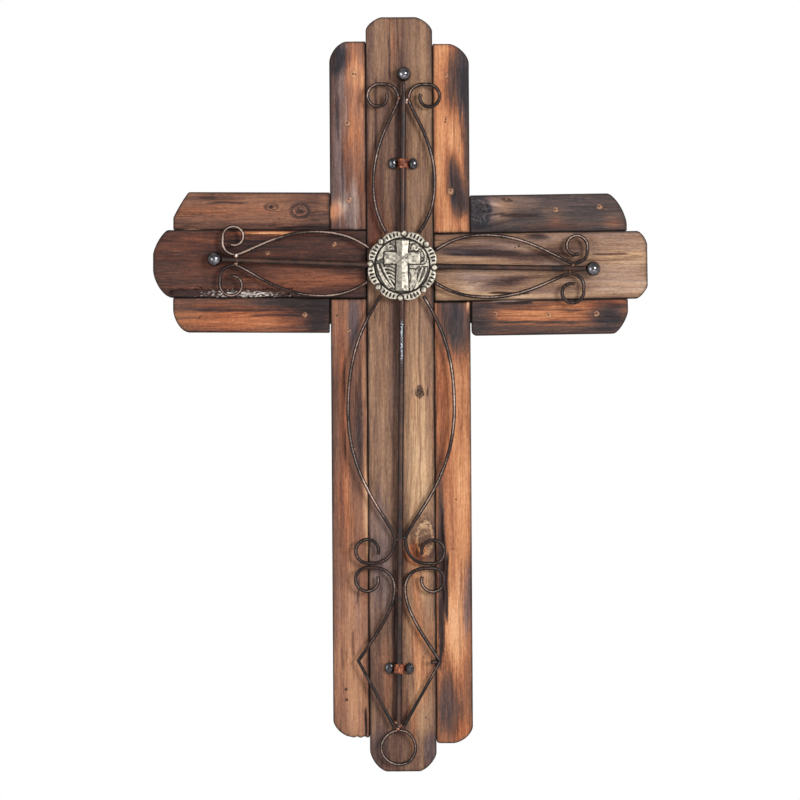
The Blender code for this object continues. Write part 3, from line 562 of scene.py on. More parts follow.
# %% [markdown]
# ## The shape of a worn board
#
# Each board was sawn, knocked about and rounded at its free corners. A fine grid is laid
# where the board's face is, and its points are drawn in to the worn outline, closer
# together near the edge where the face rolls over. The rim is then extruded back to the
# wall side and closed. Grain, dents and fissures are pressed into the face as real
# relief: only the finest fibres are left to the finish.

# %% Worn outline and grid spacing
ROUND_OVER = 0.85 * MM
CLOSE_ROWS = (0.0, 0.12, 0.35, 0.7, 1.2)
SMALL_CORNER = (0.8, 0.8, 1.2)
BOARD_BACK = 7.8 * MM
SIDE_STEPS = 5


def spacing(length, step):
    """Places along a length: close together at both ends and a step apart between."""
    first = [row * MM for row in CLOSE_ROWS]
    count = max(int((length - 2 * first[-1]) / step), 2)
    middle = np.linspace(first[-1], length - first[-1], count + 1)
    return np.concatenate([first[:-1], middle, [length - row for row in reversed(first[:-1])]])


def drawn_in(corners, side, along, length):
    """How far the outline is drawn in on this side, because of its worn corners."""
    total = np.zeros_like(along)
    for end, distance in ((-1, along), (1, length - along)):
        across_cut, along_cut, fullness = corners.get((side, end), SMALL_CORNER)
        beyond = np.clip(1.0 - distance / (along_cut * MM), 0.0, 1.0)
        total += across_cut * MM * (1.0 - (1.0 - beyond**fullness) ** (1.0 / fullness))
    return total


print("rows on a 150 mm board", len(spacing(0.150, 1.2 * MM)))

# %% Cut, press and close one board


def grid_piece(name, columns, rows):
    bpy.ops.mesh.primitive_grid_add(
        x_subdivisions=columns, y_subdivisions=rows, size=1.0, rotation=(math.radians(90.0), 0, 0)
    )
    piece = bpy.context.object
    piece.name = name
    bpy.ops.object.transform_apply(location=True, rotation=True, scale=True)
    return piece


def points_of(piece):
    flat = np.empty(len(piece.data.vertices) * 3)
    piece.data.vertices.foreach_get("co", flat)
    return flat.reshape(-1, 3)


def move_points(piece, points):
    piece.data.vertices.foreach_set("co", points.ravel())
    piece.data.update()


def set_attribute(piece, name, values):
    layer = piece.data.attributes.new(name, "FLOAT_VECTOR", "POINT")
    layer.data.foreach_set("vector", np.asarray(values, dtype=float).ravel())


def keep_number(piece, name, values):
    """Keeps one number at each point, as the first of three."""
    set_attribute(piece, name, np.column_stack([values, values * 0, values * 0]))


def edit_all(piece):
    """Goes into edit mode with the whole of this piece selected."""
    bpy.context.view_layer.objects.active = piece
    bpy.ops.object.mode_set(mode="EDIT")
    bpy.ops.mesh.select_all(action="SELECT")


def join_all(pieces):
    """Joins the pieces into the first of them."""
    bpy.ops.object.select_all(action="DESELECT")
    for piece in pieces:
        piece.select_set(True)
    bpy.context.view_layer.objects.active = pieces[0]
    bpy.ops.object.join()


def through(matrix, points):
    """The points in the space that the matrix leads to."""
    grid = np.array(matrix)
    return points @ grid[:3, :3].T + grid[:3, 3]


def face_places(piece, columns, rows, across_places, along_places, corners):
    """Each grid point's place across and along the board, and how near the edge it is."""
    points = points_of(piece)
    column = np.rint((points[:, 0] + 0.5) * columns).astype(int)
    row = np.rint((points[:, 2] + 0.5) * rows).astype(int)
    along = along_places[row]
    width, length = across_places[-1], along_places[-1]
    low = drawn_in(corners, -1, along, length)
    high = width - drawn_in(corners, 1, along, length)
    across = low + (high - low) * across_places[column] / width
    step = 0.02 * MM
    inside = np.clip(along, step, length - step)

    def slope(side):
        ahead = drawn_in(corners, side, inside + step, length)
        return (ahead - drawn_in(corners, side, inside - step, length)) / (2 * step)

    from_low = (across - low) / np.hypot(1.0, slope(-1))
    from_high = (high - across) / np.hypot(1.0, slope(1))
    from_edge = np.minimum.reduce([from_low, from_high, along, length - along])
    return across, along, np.maximum(from_edge, 0.0)


def close_back(piece, depth):
    """Extrudes the rim of the face to the back in steps, and closes it there."""
    bpy.ops.object.select_all(action="DESELECT")
    piece.select_set(True)
    bpy.context.view_layer.objects.active = piece
    bpy.ops.object.mode_set(mode="EDIT")
    bpy.ops.mesh.select_mode(type="EDGE")
    bpy.ops.mesh.select_all(action="SELECT")
    bpy.ops.mesh.region_to_loop()
    for _ in range(SIDE_STEPS):
        bpy.ops.mesh.extrude_edges_move(
            TRANSFORM_OT_translate={"value": (0.0, depth / SIDE_STEPS, 0.0)}
        )
    bpy.ops.mesh.edge_face_add()
    bpy.ops.mesh.select_all(action="SELECT")
    bpy.ops.mesh.normals_make_consistent(inside=False)
    bpy.ops.object.mode_set(mode="OBJECT")


print("a board's side is extruded in", SIDE_STEPS, "steps")

# %% [markdown]
# ## Special damage
#
# Three boards are broken as well as worn. The left arm's middle board has lost a strip
# of its lower edge, which shows crumbling old paint. The lower left board ends in torn
# fibres. A fissure of bark runs down the inner side of the lower right board. Each is a
# place where the face drops, or its end is drawn in, with noise in its outline, so no
# cutter is needed.

# %% Fissures and broken strips
FISSURES = {
    "upright_centre_board": (
        (-8, 168, 20, 0.5), (-19, 120, 34, 0.5), (15, -60, 60, 0.4), (15, -150, 50, 0.4),
        (-6, -300, 40, 0.4), (8, -320, 30, 0.4),
    ),
    "upright_upper_left_board": ((-50, 120, 22, 0.5), (-46, 70, 26, 0.4)),
    "upright_upper_right_board": ((42, 70, 22, 0.4), (50, 120, 26, 0.4)),
    "upright_lower_left_board": (
        (-46, -120, 50, 0.4), (-36, -264, 12, 0.5), (-40, -306, 12, 0.5), (-49, -318, 10, 0.4),
        (-30, -370, 13, 1.6),
    ),
    "upright_lower_right_board": ((33, -240, 44, 2), (36, -262, 30, 1.4), (31, -300, 30, 1.2)),
    "arm_left_top_board": ((-74, 30.6, 26, 0.9), (-140, 51, 18, 0.5)),
    "arm_left_bottom_board": ((-130, -36, 40, 0.5), (-100, -40, 24, 0.5)),
    "arm_left_middle_board": ((-120, 20, 30, 0.5), (-60, 2, 30, 0.4)),
    "arm_right_middle_board": ((88, -23.5, 18, 1.2), (170, 8, 16, 0.7), (60, 8, 26, 0.7)),
    "arm_right_top_board": ((90, 40, 22, 0.6), (66, 47, 8, 1), (68, 43, 7, 1)),
    "arm_right_bottom_board": ((92, -31, 16, 1.3), (120, -37, 34, 0.5), (110, -47, 40, 0.5)),
}
RAGGED = {"upright_lower_left_board": 1.3}
CHIPPED = {
    "arm_left_middle_board": (-137.0, -26.0, 48.0, 7.6, 2.4),
}


def fissures(cracks, x, y, upright, waver):
    """How deep each point lies in a long thin crack along the grain."""
    depth = np.zeros(len(x))
    along, across = (y, x) if upright else (x, y)
    for middle_x, middle_y, half_length, deep in cracks:
        middle_along, middle_across = (middle_y, middle_x) if upright else (middle_x, middle_y)
        run = np.clip(1.0 - np.abs(along / MM - middle_along) / half_length, 0.0, 1.0)
        aside = (across / MM - middle_across - waver) / 0.75
        depth = np.maximum(depth, deep * np.minimum(run * 3.0, 1.0) * np.exp(-(aside**2)))
    return depth * MM


def chip(strip, x, y, ragged):
    """1 inside the broken strip and 0 outside it, with a ragged edge."""
    middle_x, middle_y, half_length, half_height, _ = strip
    end = half_length - np.abs(x / MM - middle_x) + 3.0 * ragged
    top = half_height - np.abs(y / MM - middle_y) + 1.4 * ragged
    return np.clip(np.minimum(end, top) / 0.7, 0.0, 1.0)


print("fissures in", len(FISSURES), "boards")

# %% [markdown]
# ## One board from start to end
#
# Now the steps come together: lay the grid, draw it in, press the relief, extrude the
# sides, and write down the numbers that the finish reads. The grain vector holds how far
# across and along the wood the point is, pushed aside round knots. The marks vector
# holds toast with the painted shadow along the rod, old paint and charred rim, and the
# tint vector holds hue and torn bark.

# %% Make a board
ACROSS_STEP = 0.62 * MM
ALONG_STEP = 1.2 * MM


def make_board(name, space, upright, low_corner, size, front, corners, base_toast, seed):
    width, length = size
    across_places = spacing(width, ACROSS_STEP)
    along_places = spacing(length, ALONG_STEP)
    columns, rows = len(across_places) - 1, len(along_places) - 1
    piece = grid_piece(name + "_torched", columns, rows)
    across, along, edge = face_places(piece, columns, rows, across_places, along_places, corners)
    if name in RAGGED:
        bite = RAGGED[name] * MM * (0.4 + rough(across * 340.0, along * 0.0, seed + 4.0))
        along = along + np.clip(bite, 0.0, None) * np.clip(1.0 - along / (6.0 * MM), 0.0, 1.0)
    if upright:
        bench_x, bench_y = low_corner[0] + across, low_corner[1] + along
    else:
        bench_x, bench_y = low_corner[0] + along, low_corner[1] + across
    flat = np.column_stack([bench_x, bench_y, np.full(len(across), front)])
    world = through(space, flat)
    x, y = world[:, 0], world[:, 2] - BENCH.translation.z
    grain_x, grain_y = (x, y) if upright else (y, x)

    knots = KNOTS.get(name, ())
    ring = knot_distance(knots, x, y)
    pushed = grain_x.copy()
    for middle_x, middle_y, reach_x, reach_y in knots:
        aside = grain_x - (middle_x if upright else middle_y) * MM
        reach = (reach_x if upright else reach_y) * MM
        far = np.hypot((x - middle_x * MM) / (reach_x * MM), (y - middle_y * MM) / (reach_y * MM))
        push = reach * 0.8 * np.exp(-((far / 2.2) ** 2)) * np.minimum(np.abs(aside) / reach, 1.0)
        pushed -= np.sign(aside) * push

    swell = rough(pushed * 160.0, grain_y * 12.0, seed)
    furrow = rough(pushed * 620.0, grain_y * 20.0, seed + 5.0)
    pitted = rough(grain_x * 900.0, grain_y * 500.0, seed + 8.0)
    relief = (0.16 * (1.0 - swell) * 0.5 + 0.13 * (1.0 - furrow) * 0.5) * MM
    waver = 1.2 * rough(grain_x * 0.0, grain_y * 45.0, seed + 2.0) + 0.5 * furrow
    cracks = fissures(FISSURES.get(name, ()), x, y, upright, waver)
    knot_dent = 0.35 * MM * np.exp(-(((ring - 1.05) / 0.22) ** 2)) + 0.25 * MM * np.exp(-((ring / 0.35) ** 2))
    wear = np.clip(ROUND_OVER * (1.0 + 0.35 * swell) - edge, 0.0, None)
    fall = ROUND_OVER - np.sqrt(np.clip(ROUND_OVER**2 - wear**2, 0.0, None))
    drop = relief + cracks + knot_dent + fall
    broken = np.zeros(len(x))
    if name in CHIPPED:
        broken = chip(CHIPPED[name], x, y, rough(x * 260.0, y * 260.0, seed) + pitted)
        drop += broken * (CHIPPED[name][4] + 0.8 * pitted + 0.5 * furrow) * MM
    flat[:, 2] = front - np.clip(drop, 0.0, None)
    move_points(piece, through(space, flat))

    wobble = 0.30 * rough(grain_x * 240.0, grain_y * 22.0, seed + 1.0) + 0.14 * furrow
    # Besides the torch's toast, the table lays the painted shadow along the upright rod.
    toast_and_shadow = base_toast + ovals(TOAST_AND_SHADOW.get(name, ()), x, y, wobble)
    toast_and_shadow += cracks / MM * 0.75 + broken * 0.12
    pale = ovals(PALE.get(name, ()), x, y, 0.5 * wobble)
    tint = ovals(TINT.get(name, ()), x, y, wobble)
    bark = ovals(BARK.get(name, ()), x, y, 0.6 * wobble)
    rim = np.clip(1.0 - edge / (3.6 * MM), 0.0, 1.0) * np.clip(toast_and_shadow * 3.0 + 0.4, 0.0, 1.0)
    front_grain = np.column_stack([pushed, grain_y, ring])
    front_marks = np.column_stack([toast_and_shadow, pale, rim])

    close_back(piece, front - ROUND_OVER - BOARD_BACK)
    count = len(across)
    points = points_of(piece)
    level = -points[:, 1]
    behind = points[count:]
    points[count:, 1] = -np.clip(level[count:], BOARD_BACK, None)
    move_points(piece, points)
    sides = np.column_stack([behind[:, 0], behind[:, 2] - BENCH.translation.z])
    sides = sides if upright else sides[:, ::-1]
    at_back = level[count:] < BOARD_BACK + 0.2 * MM
    side_grain = np.column_stack([sides[:, 0] + behind[:, 1], sides[:, 1], np.full(len(behind), 9.0)])
    side_toast = np.where(at_back, 0.45, 0.75)
    side_marks = np.column_stack([side_toast, np.zeros(len(behind)), np.where(at_back, 0.0, 0.6)])
    set_attribute(piece, "grain", np.vstack([front_grain, side_grain]))
    set_attribute(piece, "marks", np.vstack([front_marks, side_marks]))
    hues = np.column_stack([tint, bark, np.zeros(count)])
    set_attribute(piece, "tint", np.vstack([hues, np.zeros((len(behind), 3))]))
    return piece


def spots_on(table, name, front):
    """The table's small knots on this board, as centres and radii in metres."""
    spots = table.get(name, ())
    return [((x * MM, -front, y * MM + BENCH.translation.z), radius * MM) for x, y, radius in spots]


def dress_board(piece, name, stain, front, seed):
    eyes, holes = spots_on(EYES, name, front), spots_on(HOLES, name, front)
    knot_line = KNOT_LINES.get(name, paint(64, 42, 34))
    finish = torched_wood(name + "_finish", stain, eyes, holes, knot_line, seed, MOTTLE.get(name, 0.5))
    piece.data.materials.clear()
    piece.data.materials.append(finish)
    piece.data.shade_smooth()
    piece.data.set_sharp_from_angle(angle=math.radians(55.0))
    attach(piece, "root")
    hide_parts(name)
    print(piece.name, len(piece.data.polygons), "faces")


KNOT_LINES = {"arm_right_top_board": paint(88, 84, 84)}
MOTTLE = {
    "upright_upper_left_board": 1.1,
    "upright_lower_right_board": 0.35,
    "upright_upper_right_board": 0.35,
    "arm_left_middle_board": 0.3,
}
print("grid step", ACROSS_STEP / MM, "by", ALONG_STEP / MM, "mm")

# %% [markdown]
# ## The upright's five boards
#
# The widest board runs the whole height and stands a little proud of its neighbours.
# Worn corners are given as how far the wear reaches across and along in millimetres, and
# how full the corner still is: 1 is a straight cut and 2 a quarter round.

# %% Upright boards
UPRIGHT = (
    ("upright_centre_board", (-26.9, -409.6), (53.8, 610.0), 23.0, GREY_BROWN, 0.47, "weathered_wood",
     {(-1, 1): (13.0, 10.4, 1.5), (1, 1): (14.1, 11.3, 1.5),
      (-1, -1): (14.0, 17.5, 1.6), (1, -1): (14.0, 15.0, 1.5)}),
    ("upright_upper_left_board", (-56.5, 28.6), (29.5, 152.6), 20.8, RED_BROWN, 0.39, "dark_wood",
     {(-1, 1): (14.0, 17.0, 1.7)}),
    ("upright_upper_right_board", (27.0, 25.6), (29.5, 153.2), 20.8, TORCHED, 0.26, "torched_wood",
     {(1, 1): (16.2, 15.5, 1.6)}),
    ("upright_lower_left_board", (-56.5, -382.4), (29.5, 355.3), 20.8, WARM_BROWN, 0.48, "weathered_wood",
     {(-1, -1): (15.4, 14.2, 1.6)}),
    ("upright_lower_right_board", (27.0, -387.2), (29.5, 357.0), 20.8, TORCHED, 0.32, "torched_wood",
     {(1, -1): (16.2, 13.8, 1.7), (-1, -1): (2.5, 1.8, 1.6)}),
)


def metres(pair):
    return tuple(value * MM for value in pair)


for seed, (name, corner, size, front, stain, base, slot, corners) in enumerate(UPRIGHT):
    board = make_board(
        name, BENCH, True, metres(corner), metres(size), front * MM, corners, base, 10.0 * seed
    )
    dress_board(board, name, stain, front * MM, 10.0 * seed)

# %% [markdown]
# ## The arms' six boards
#
# Each arm rises half a degree towards its end, so it gets a space of its own, turned by
# that much. Along and across change places: the grain runs out along the arm.

# %% Arm boards
ARM_RISE = math.radians(0.5)
LEFT_ARM = BENCH @ Matrix.Translation((0.0, 0.6 * MM, 0.0)) @ Matrix.Rotation(-ARM_RISE, 4, "Z")
RIGHT_ARM = BENCH @ Matrix.Translation((0.0, -2.5 * MM, 0.0)) @ Matrix.Rotation(ARM_RISE, 4, "Z")
ARMS = (
    ("arm_left_middle_board", LEFT_ARM, (-200.0, -27.25), (54.5, 172.6), 22.0, RED_BROWN, 0.76,
     "dark_wood", {(1, -1): (20.0, 12.1, 1.4), (-1, -1): (22.0, 14.5, 1.6)}),
    ("arm_left_top_board", LEFT_ARM, (-183.8, 27.45), (30.6, 126.7), 20.8, WARM_BROWN, 0.52,
     "torched_wood", {(1, -1): (21.0, 12.5, 1.1)}),
    ("arm_left_bottom_board", LEFT_ARM, (-183.8, -55.45), (28.0, 126.7), 20.8, TORCHED, 0.54,
     "torched_wood", {(-1, -1): (18.6, 12.5, 1.7)}),
    ("arm_right_middle_board", RIGHT_ARM, (27.4, -27.25), (54.5, 172.6), 22.0, GREY_BROWN, 0.34,
     "weathered_wood", {(1, 1): (11.2, 8.1, 1.5), (-1, 1): (10.2, 8.4, 1.3)}),
    ("arm_right_top_board", RIGHT_ARM, (57.1, 27.45), (30.6, 126.7), 20.8, CHARRED, 0.82,
     "charred_wood", {(1, 1): (25.0, 15.5, 1.5)}),
    ("arm_right_bottom_board", RIGHT_ARM, (57.1, -55.45), (28.0, 126.7), 20.8, TORCHED, 0.62,
     "torched_wood", {(-1, 1): (18.0, 11.5, 1.4), (-1, -1): (4.0, 4.0, 1.8)}),
)

for count, (name, space, corner, size, front, stain, base, slot, corners) in enumerate(ARMS):
    seed = 60.0 + 10.0 * count
    board = make_board(
        name, space, False, metres(corner), metres(size), front * MM, corners, base, seed
    )
    dress_board(board, name, stain, front * MM, seed)

# %% [markdown]
# ## Backing and hanger
#
# Behind the boards a thin plywood cross and a toothed bar are hidden from the front.
# Their CAD shapes are right as they are, so only their finishes are made: layers of
# veneer that show at the plywood's edge, and zinc with its broad pale crystals.

# %% Plywood and zinc


def plywood():
    ply = Finish("plywood")
    x, y, z = ply.split(ply.place())
    layers = (y * 4200.0).wave() * 0.5 + 0.5
    grain = ply.clouds(ply.vector(x * 700.0, y * 900.0, z * 22.0), detail=3.0)
    blotch = ply.clouds(ply.place(), scale=22.0, detail=3.0)
    tone = grain * 0.55 + blotch * 0.5 + layers * 0.1
    ply.set(base_color=ply.ramp(tone, [(0.25, paint(120, 84, 54)), (0.7, paint(196, 158, 112))]))
    ply.set(roughness=0.7 + grain * 0.2)
    ply.bump(grain, 0.4, 0.0004)
    return ply.material


def zinc():
    metal = Finish("zinc")
    crystals = metal.node("ShaderNodeTexVoronoi", None, {"Vector": metal.place(), "Scale": 420.0}, 1)
    tone = metal.split(crystals)[0]
    metal.set(base_color=metal.ramp(tone, [(0.1, paint(112, 115, 119)), (0.9, paint(158, 161, 166))]))
    metal.set(metallic=0.7, roughness=0.48 + tone * 0.14)
    metal.bump(metal.clouds(metal.place(), scale=900.0), 0.2, 0.0002)
    return metal.material


for name, finish in (("backing_cross", plywood()), ("wall_hanger", zinc())):
    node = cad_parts[name]
    node.data.materials.clear()
    node.data.materials.append(finish)
    print(name, "is now", finish.name)

# %% [markdown]
# ## Dark iron
#
# The rods and wires are mild steel that was heated, rusted a little and rubbed. The
# finish has blotches of brown rust and a thin light line along the front, which each
# point knows from how squarely it faces the viewer: a painted highlight that also stands
# for a rag taking the black off. Rubbed iron is smoother and more metallic than rust. A
# short length of the upright rod, just under the concho, carries a painted blue-white
# glint.

# %% Finish of the iron


def dark_iron(name, dark, rusty, wear_and_sheen_colour, amount):
    iron = Finish(name)
    facing, glint_band, _ = iron.split(iron.attribute("rubbed"))
    blotch = iron.clouds(iron.place(), scale=110.0, detail=4.0, rough=0.6)
    grit = iron.clouds(iron.place(), scale=800.0, detail=2.0)
    rust = (blotch + (grit - 0.5) * 0.3).between(0.42, 0.66)
    stretch = iron.clouds(iron.place(), scale=26.0, detail=2.0)
    # Painted highlight: the iron is lighter where it faces the viewer, which also stands for rubbed wear.
    rubbed = (facing + (stretch - 0.5) * 0.46 + (grit - 0.5) * 0.20).between(0.91, 1.06)
    skin = iron.mix(rust, dark, rusty)
    # Painted glint: a blue-white highlight on the front of the upright rod, in that band.
    glint = (facing + (grit - 0.5) * 0.5).between(0.93, 1.0) * (glint_band + (grit - 0.5) * 0.6).between(0.3, 0.6)
    skin = iron.mix(rubbed * amount, skin, wear_and_sheen_colour)
    # The blue-white colour here is the painted glint.
    iron.set(base_color=iron.mix(glint * 0.85, skin, paint(206, 214, 226)), specular_ior_level=0.3)
    iron.set(metallic=0.12 + rubbed * 0.5, roughness=0.38 + rust * 0.14 - rubbed * 0.1)
    iron.bump(grit + blotch * 0.5, 0.12, 0.0003)
    return iron.material


# The third colour of each is the light line's: painted highlight and rubbed metal at once.
wire_iron = dark_iron("wire_iron", paint(26, 20, 19), paint(58, 36, 30), paint(208, 178, 162), 0.84)
rod_iron = dark_iron("rod_iron", paint(38, 30, 28), paint(68, 43, 35), paint(128, 96, 82), 0.50)
print("iron finishes", wire_iron.name, rod_iron.name)

# %% [markdown]
# ## Scrolled wires
#
# A wire like this is bent cold round a peg: out from under the concho, round a belly,
# back to a neck that is welded to the rod, and on into an open curl. A Bezier curve
# with a round section gives the same even tube. It is turned into a mesh at once, its
# ends are closed, and a little noise takes the machine-made look away.

# %% Routes of the wires
WIRE_RADIUS = 1.5 * MM
BESIDE_ROD = 4.2 * MM
CURL_FIRST = math.radians(-15.0)
CURL_LAST = math.radians(290.0)


def bezier(start, start_handle, end_handle, end, count):
    """Points along a cubic curve, without its last one."""
    route = []
    for step in range(count):
        t = step / count
        weights = ((1 - t) ** 3, 3 * t * (1 - t) ** 2, 3 * t * t * (1 - t), t**3)
        corners = (start, start_handle, end_handle, end)
        route.append(tuple(sum(w * c[axis] for w, c in zip(weights, corners)) for axis in (0, 1)))
    return route


def curl_route(neck, centre, start_radius, end_radius, onward, count):
    def on_curl(t):
        angle = CURL_FIRST + t * (CURL_LAST - CURL_FIRST)
        radius = start_radius + t * (end_radius - start_radius)
        return centre[0] + onward * radius * math.cos(angle), centre[1] + radius * math.sin(angle)

    first = on_curl(0.0)
    leave = (neck[0] + onward * 0.66 * abs(first[0] - neck[0]), neck[1])
    arrive = (first[0] + onward * 0.12 * start_radius, first[1] - 0.585 * (first[1] - neck[1]))
    return bezier(neck, leave, arrive, first, 12) + [on_curl(i / count) for i in range(count + 1)]


def bow_route(tip, belly, neck, fullness):
    rise = belly[0] - tip[0]
    fall = neck[0] - belly[0]
    lift = (tip[0] + 0.32 * rise, tip[1] + 0.72 * (belly[1] - tip[1]))
    out = bezier(tip, lift, (belly[0] - 0.42 * rise, belly[1]), belly, 24)
    settle = (neck[0] - 0.16 * fall, neck[1] + 0.10 * (belly[1] - neck[1]))
    return out + bezier(belly, (belly[0] + fullness * fall, belly[1]), settle, neck, 36)


print("a curl turns", round(math.degrees(CURL_LAST - CURL_FIRST)), "degrees")

# %% Bend a wire


def bent_bar(name, space, route, radius, closed=False, sides=16):
    """A tube along the route, which is given in metres in this space."""
    bpy.ops.object.select_all(action="DESELECT")
    bpy.ops.curve.primitive_bezier_curve_add()
    piece = bpy.context.object
    piece.name = name
    curve = piece.data
    curve.splines.clear()
    spline = curve.splines.new("POLY")
    spline.points.add(len(route) - 1)
    for point, (u, v) in zip(spline.points, route):
        point.co = (*(space @ Vector((u, v, 0.0))), 1.0)
    spline.use_cyclic_u = closed
    spline.use_smooth = True
    curve.bevel_depth = radius
    curve.bevel_resolution = sides // 4 - 1
    curve.use_fill_caps = not closed
    bpy.ops.object.convert(target="MESH")
    return bpy.context.object


def hand_worked(piece, size, strength):
    """Small lumps, as a hammer and a torch leave them."""
    texture = bpy.data.textures.new(piece.name + "_lumps", "CLOUDS")
    texture.noise_scale = size
    bumps = piece.modifiers.new("Lumps", "DISPLACE")
    bumps.texture = texture
    bumps.texture_coords = "LOCAL"
    bumps.strength = strength
    bumps.mid_level = 0.5
    bpy.context.view_layer.objects.active = piece
    bpy.ops.object.modifier_apply(modifier=bumps.name)


# Where the painted blue-white glint lies on the upright rod, just under the concho.
GLINT_HEIGHT = -207.0 * MM
GLINT_LENGTH = 24.0 * MM
GLINT_WIDTH = 4.0 * MM


def mark_front(piece):
    """Keeps how squarely each point faces the viewer, where a painted highlight line runs
    that also stands for a rag rubbing the black off, and where a painted glint lies on
    the upright rod, a little below the concho."""
    normals = np.empty(len(piece.data.vertices) * 3)
    piece.data.vertices.foreach_get("normal", normals)
    facing = -normals.reshape(-1, 3)[:, 1]
    places = points_of(piece)
    glint_band = np.clip(1.0 - np.abs(places[:, 2] - GLINT_HEIGHT) / GLINT_LENGTH, 0.0, 1.0)
    glint_band = glint_band * (np.abs(places[:, 0]) < GLINT_WIDTH)
    set_attribute(piece, "rubbed", np.column_stack([facing, glint_band, facing * 0.0]))


def finish_piece(piece, material, slot, *nodes, sharp=40.0):
    piece.data.materials.clear()
    piece.data.materials.append(material)
    piece.data.shade_smooth()
    piece.data.set_sharp_from_angle(angle=math.radians(sharp))
    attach(piece, "root")
    if nodes:
        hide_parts(*nodes)
    print(piece.name, len(piece.data.polygons), "faces")


def weld_close(piece):
    """Joins the cap of a tube to its wall and points every face outwards."""
    edit_all(piece)
    bpy.ops.mesh.remove_doubles(threshold=0.00001)
    bpy.ops.mesh.normals_make_consistent(inside=False)
    bpy.ops.object.mode_set(mode="OBJECT")


def make_wire(name, branch, side, route, *nodes):
    piece = bent_bar(name + "_bent", BRANCHES[branch], [(u, side * v) for u, v in route], WIRE_RADIUS)
    weld_close(piece)
    hand_worked(piece, 0.012, 0.00022)
    mark_front(piece)
    finish_piece(piece, wire_iron, "dark_iron", *nodes)


print("wire of", 2 * WIRE_RADIUS / MM, "mm")

# %% Six short scrolls
BALL_REACH = {"top": 154.7, "left": 151.6, "right": 153.9}
SHORT_TIP = (26.5 * MM, 13.0 * MM)
SHORT_SCROLLS = (
    ("scroll_top_left", "top", 1, 23.7, 20.2, 20.1, 10.2),
    ("scroll_top_right", "top", -1, 25.7, 20.2, 20.1, 10.2),
    ("scroll_left_upper", "left", -1, 25.1, 17.1, 18.6, 9.2),
    ("scroll_left_lower", "left", 1, 26.4, 17.1, 20.0, 10.2),
    ("scroll_right_upper", "right", 1, 25.9, 15.9, 18.2, 9.2),
    ("scroll_right_lower", "right", -1, 24.2, 18.9, 19.0, 9.8),
)

for name, branch, side, belly_side, short_of_ball, curl_side, curl_start in SHORT_SCROLLS:
    neck = ((BALL_REACH[branch] - short_of_ball) * MM, BESIDE_ROD)
    centre = (neck[0] + 2.0 * MM, curl_side * MM)
    route = bow_route(SHORT_TIP, (68.0 * MM, belly_side * MM), neck, 0.50)
    route += curl_route(neck, centre, curl_start * MM, 6.6 * MM, 1, 52)
    make_wire(name, branch, side, route, name)

# %% Long scrolls and tail scrolls
ROD_END = 372.5 * MM
long_neck = (220.0 * MM, BESIDE_ROD)
long_route = bow_route((24.0 * MM, 17.2 * MM), (116.0 * MM, 42.8 * MM), long_neck, 0.56)
long_route += curl_route(long_neck, (230.0 * MM, 26.2 * MM), 10.0 * MM, 8.7 * MM, 1, 56)
tail_neck = (260.3 * MM, BESIDE_ROD)
tail_bend = (318.7 * MM, 33.0 * MM)
tail_run = tail_bend[0] - tail_neck[0]
tail_route = [(ROD_END - WIRE_RADIUS, BESIDE_ROD)] + bezier(
    tail_bend,
    (tail_bend[0] - 0.31 * tail_run, tail_bend[1] - 0.42 * (tail_bend[1] - BESIDE_ROD)),
    (tail_neck[0] + 0.31 * tail_run, BESIDE_ROD),
    tail_neck,
    28,
)
tail_route += curl_route(tail_neck, (253.3 * MM, 26.2 * MM), 10.0 * MM, 8.7 * MM, -1, 56)

for word, side in (("left", -1), ("right", 1)):
    make_wire("long_scroll_" + word, "bottom", side, long_route, "long_scroll_" + word)
    make_wire("tail_scroll_" + word, "bottom", side, tail_route, "tail_scroll_" + word)
peg_route = [(tail_bend[0] + 0.4 * MM, tail_bend[1] - step * MM) for step in (1.4, 3.0, 4.6, 6.2, 7.6)]
make_wire("tail_peg", "bottom", 1, peg_route)

# %% [markdown]
# ## Rods, ring and welds
#
# The rods are straight bar, and the upright one is filed thin at its ball. The ring is
# a short end of wire bent round a pipe, so a torus would do, but the same tube keeps
# its section like the wires' own. The beads of melted metal at each neck tell that the
# work is welded, and they shine because they were never brushed. They are small
# spheres, pulled out of shape by noise.

# %% Rods and ring
ROD_RADIUS = 2.4 * MM
BALL_GAP = 6.1 * MM
ROD_GAP = 0.3 * MM
NECK_START = 136.0 * MM


def rod_route(start, end, count):
    return [(start + (end - start) * step / count, 0.0) for step in range(count + 1)]


def thin_neck(piece):
    """Files the rod thin where it enters the ball, along its last centimetre."""
    points = through(IRON.inverted(), points_of(piece))
    thin = np.clip((points[:, 1] - NECK_START) / (3.0 * MM), 0.0, 1.0)
    points[:, [0, 2]] *= (1.0 - 0.42 * thin)[:, None]
    move_points(piece, through(IRON, points))


def make_rod(name, branch, start, end):
    route = rod_route(start, end, count=160)
    piece = bent_bar(name + "_forged", BRANCHES[branch], route, ROD_RADIUS, sides=24)
    weld_close(piece)
    if name == "upright_rod":
        thin_neck(piece)
    hand_worked(piece, 0.02, 0.00025)
    mark_front(piece)
    finish_piece(piece, rod_iron, "dark_iron", name)


make_rod("upright_rod", "bottom", BALL_GAP - BALL_REACH["top"] * MM, ROD_END)
for branch in ("left", "right"):
    make_rod(branch + "_rod", branch, ROD_RADIUS + ROD_GAP, BALL_REACH[branch] * MM - BALL_GAP)
RING_REACH = 388.3 * MM
RING_RADIUS = 14.0 * MM
ring_route = []
for step in range(96):
    angle = 2 * math.pi * step / 96
    wobble = RING_RADIUS - 0.25 * MM * (1 + math.cos(3 * angle + 1.0))
    ring_route.append((RING_REACH + wobble * math.cos(angle), wobble * math.sin(angle)))
ring = bent_bar("bottom_ring_bent", BRANCHES["bottom"], ring_route, WIRE_RADIUS, closed=True)
hand_worked(ring, 0.012, 0.00025)
mark_front(ring)
finish_piece(ring, wire_iron, "dark_iron", "bottom_ring")

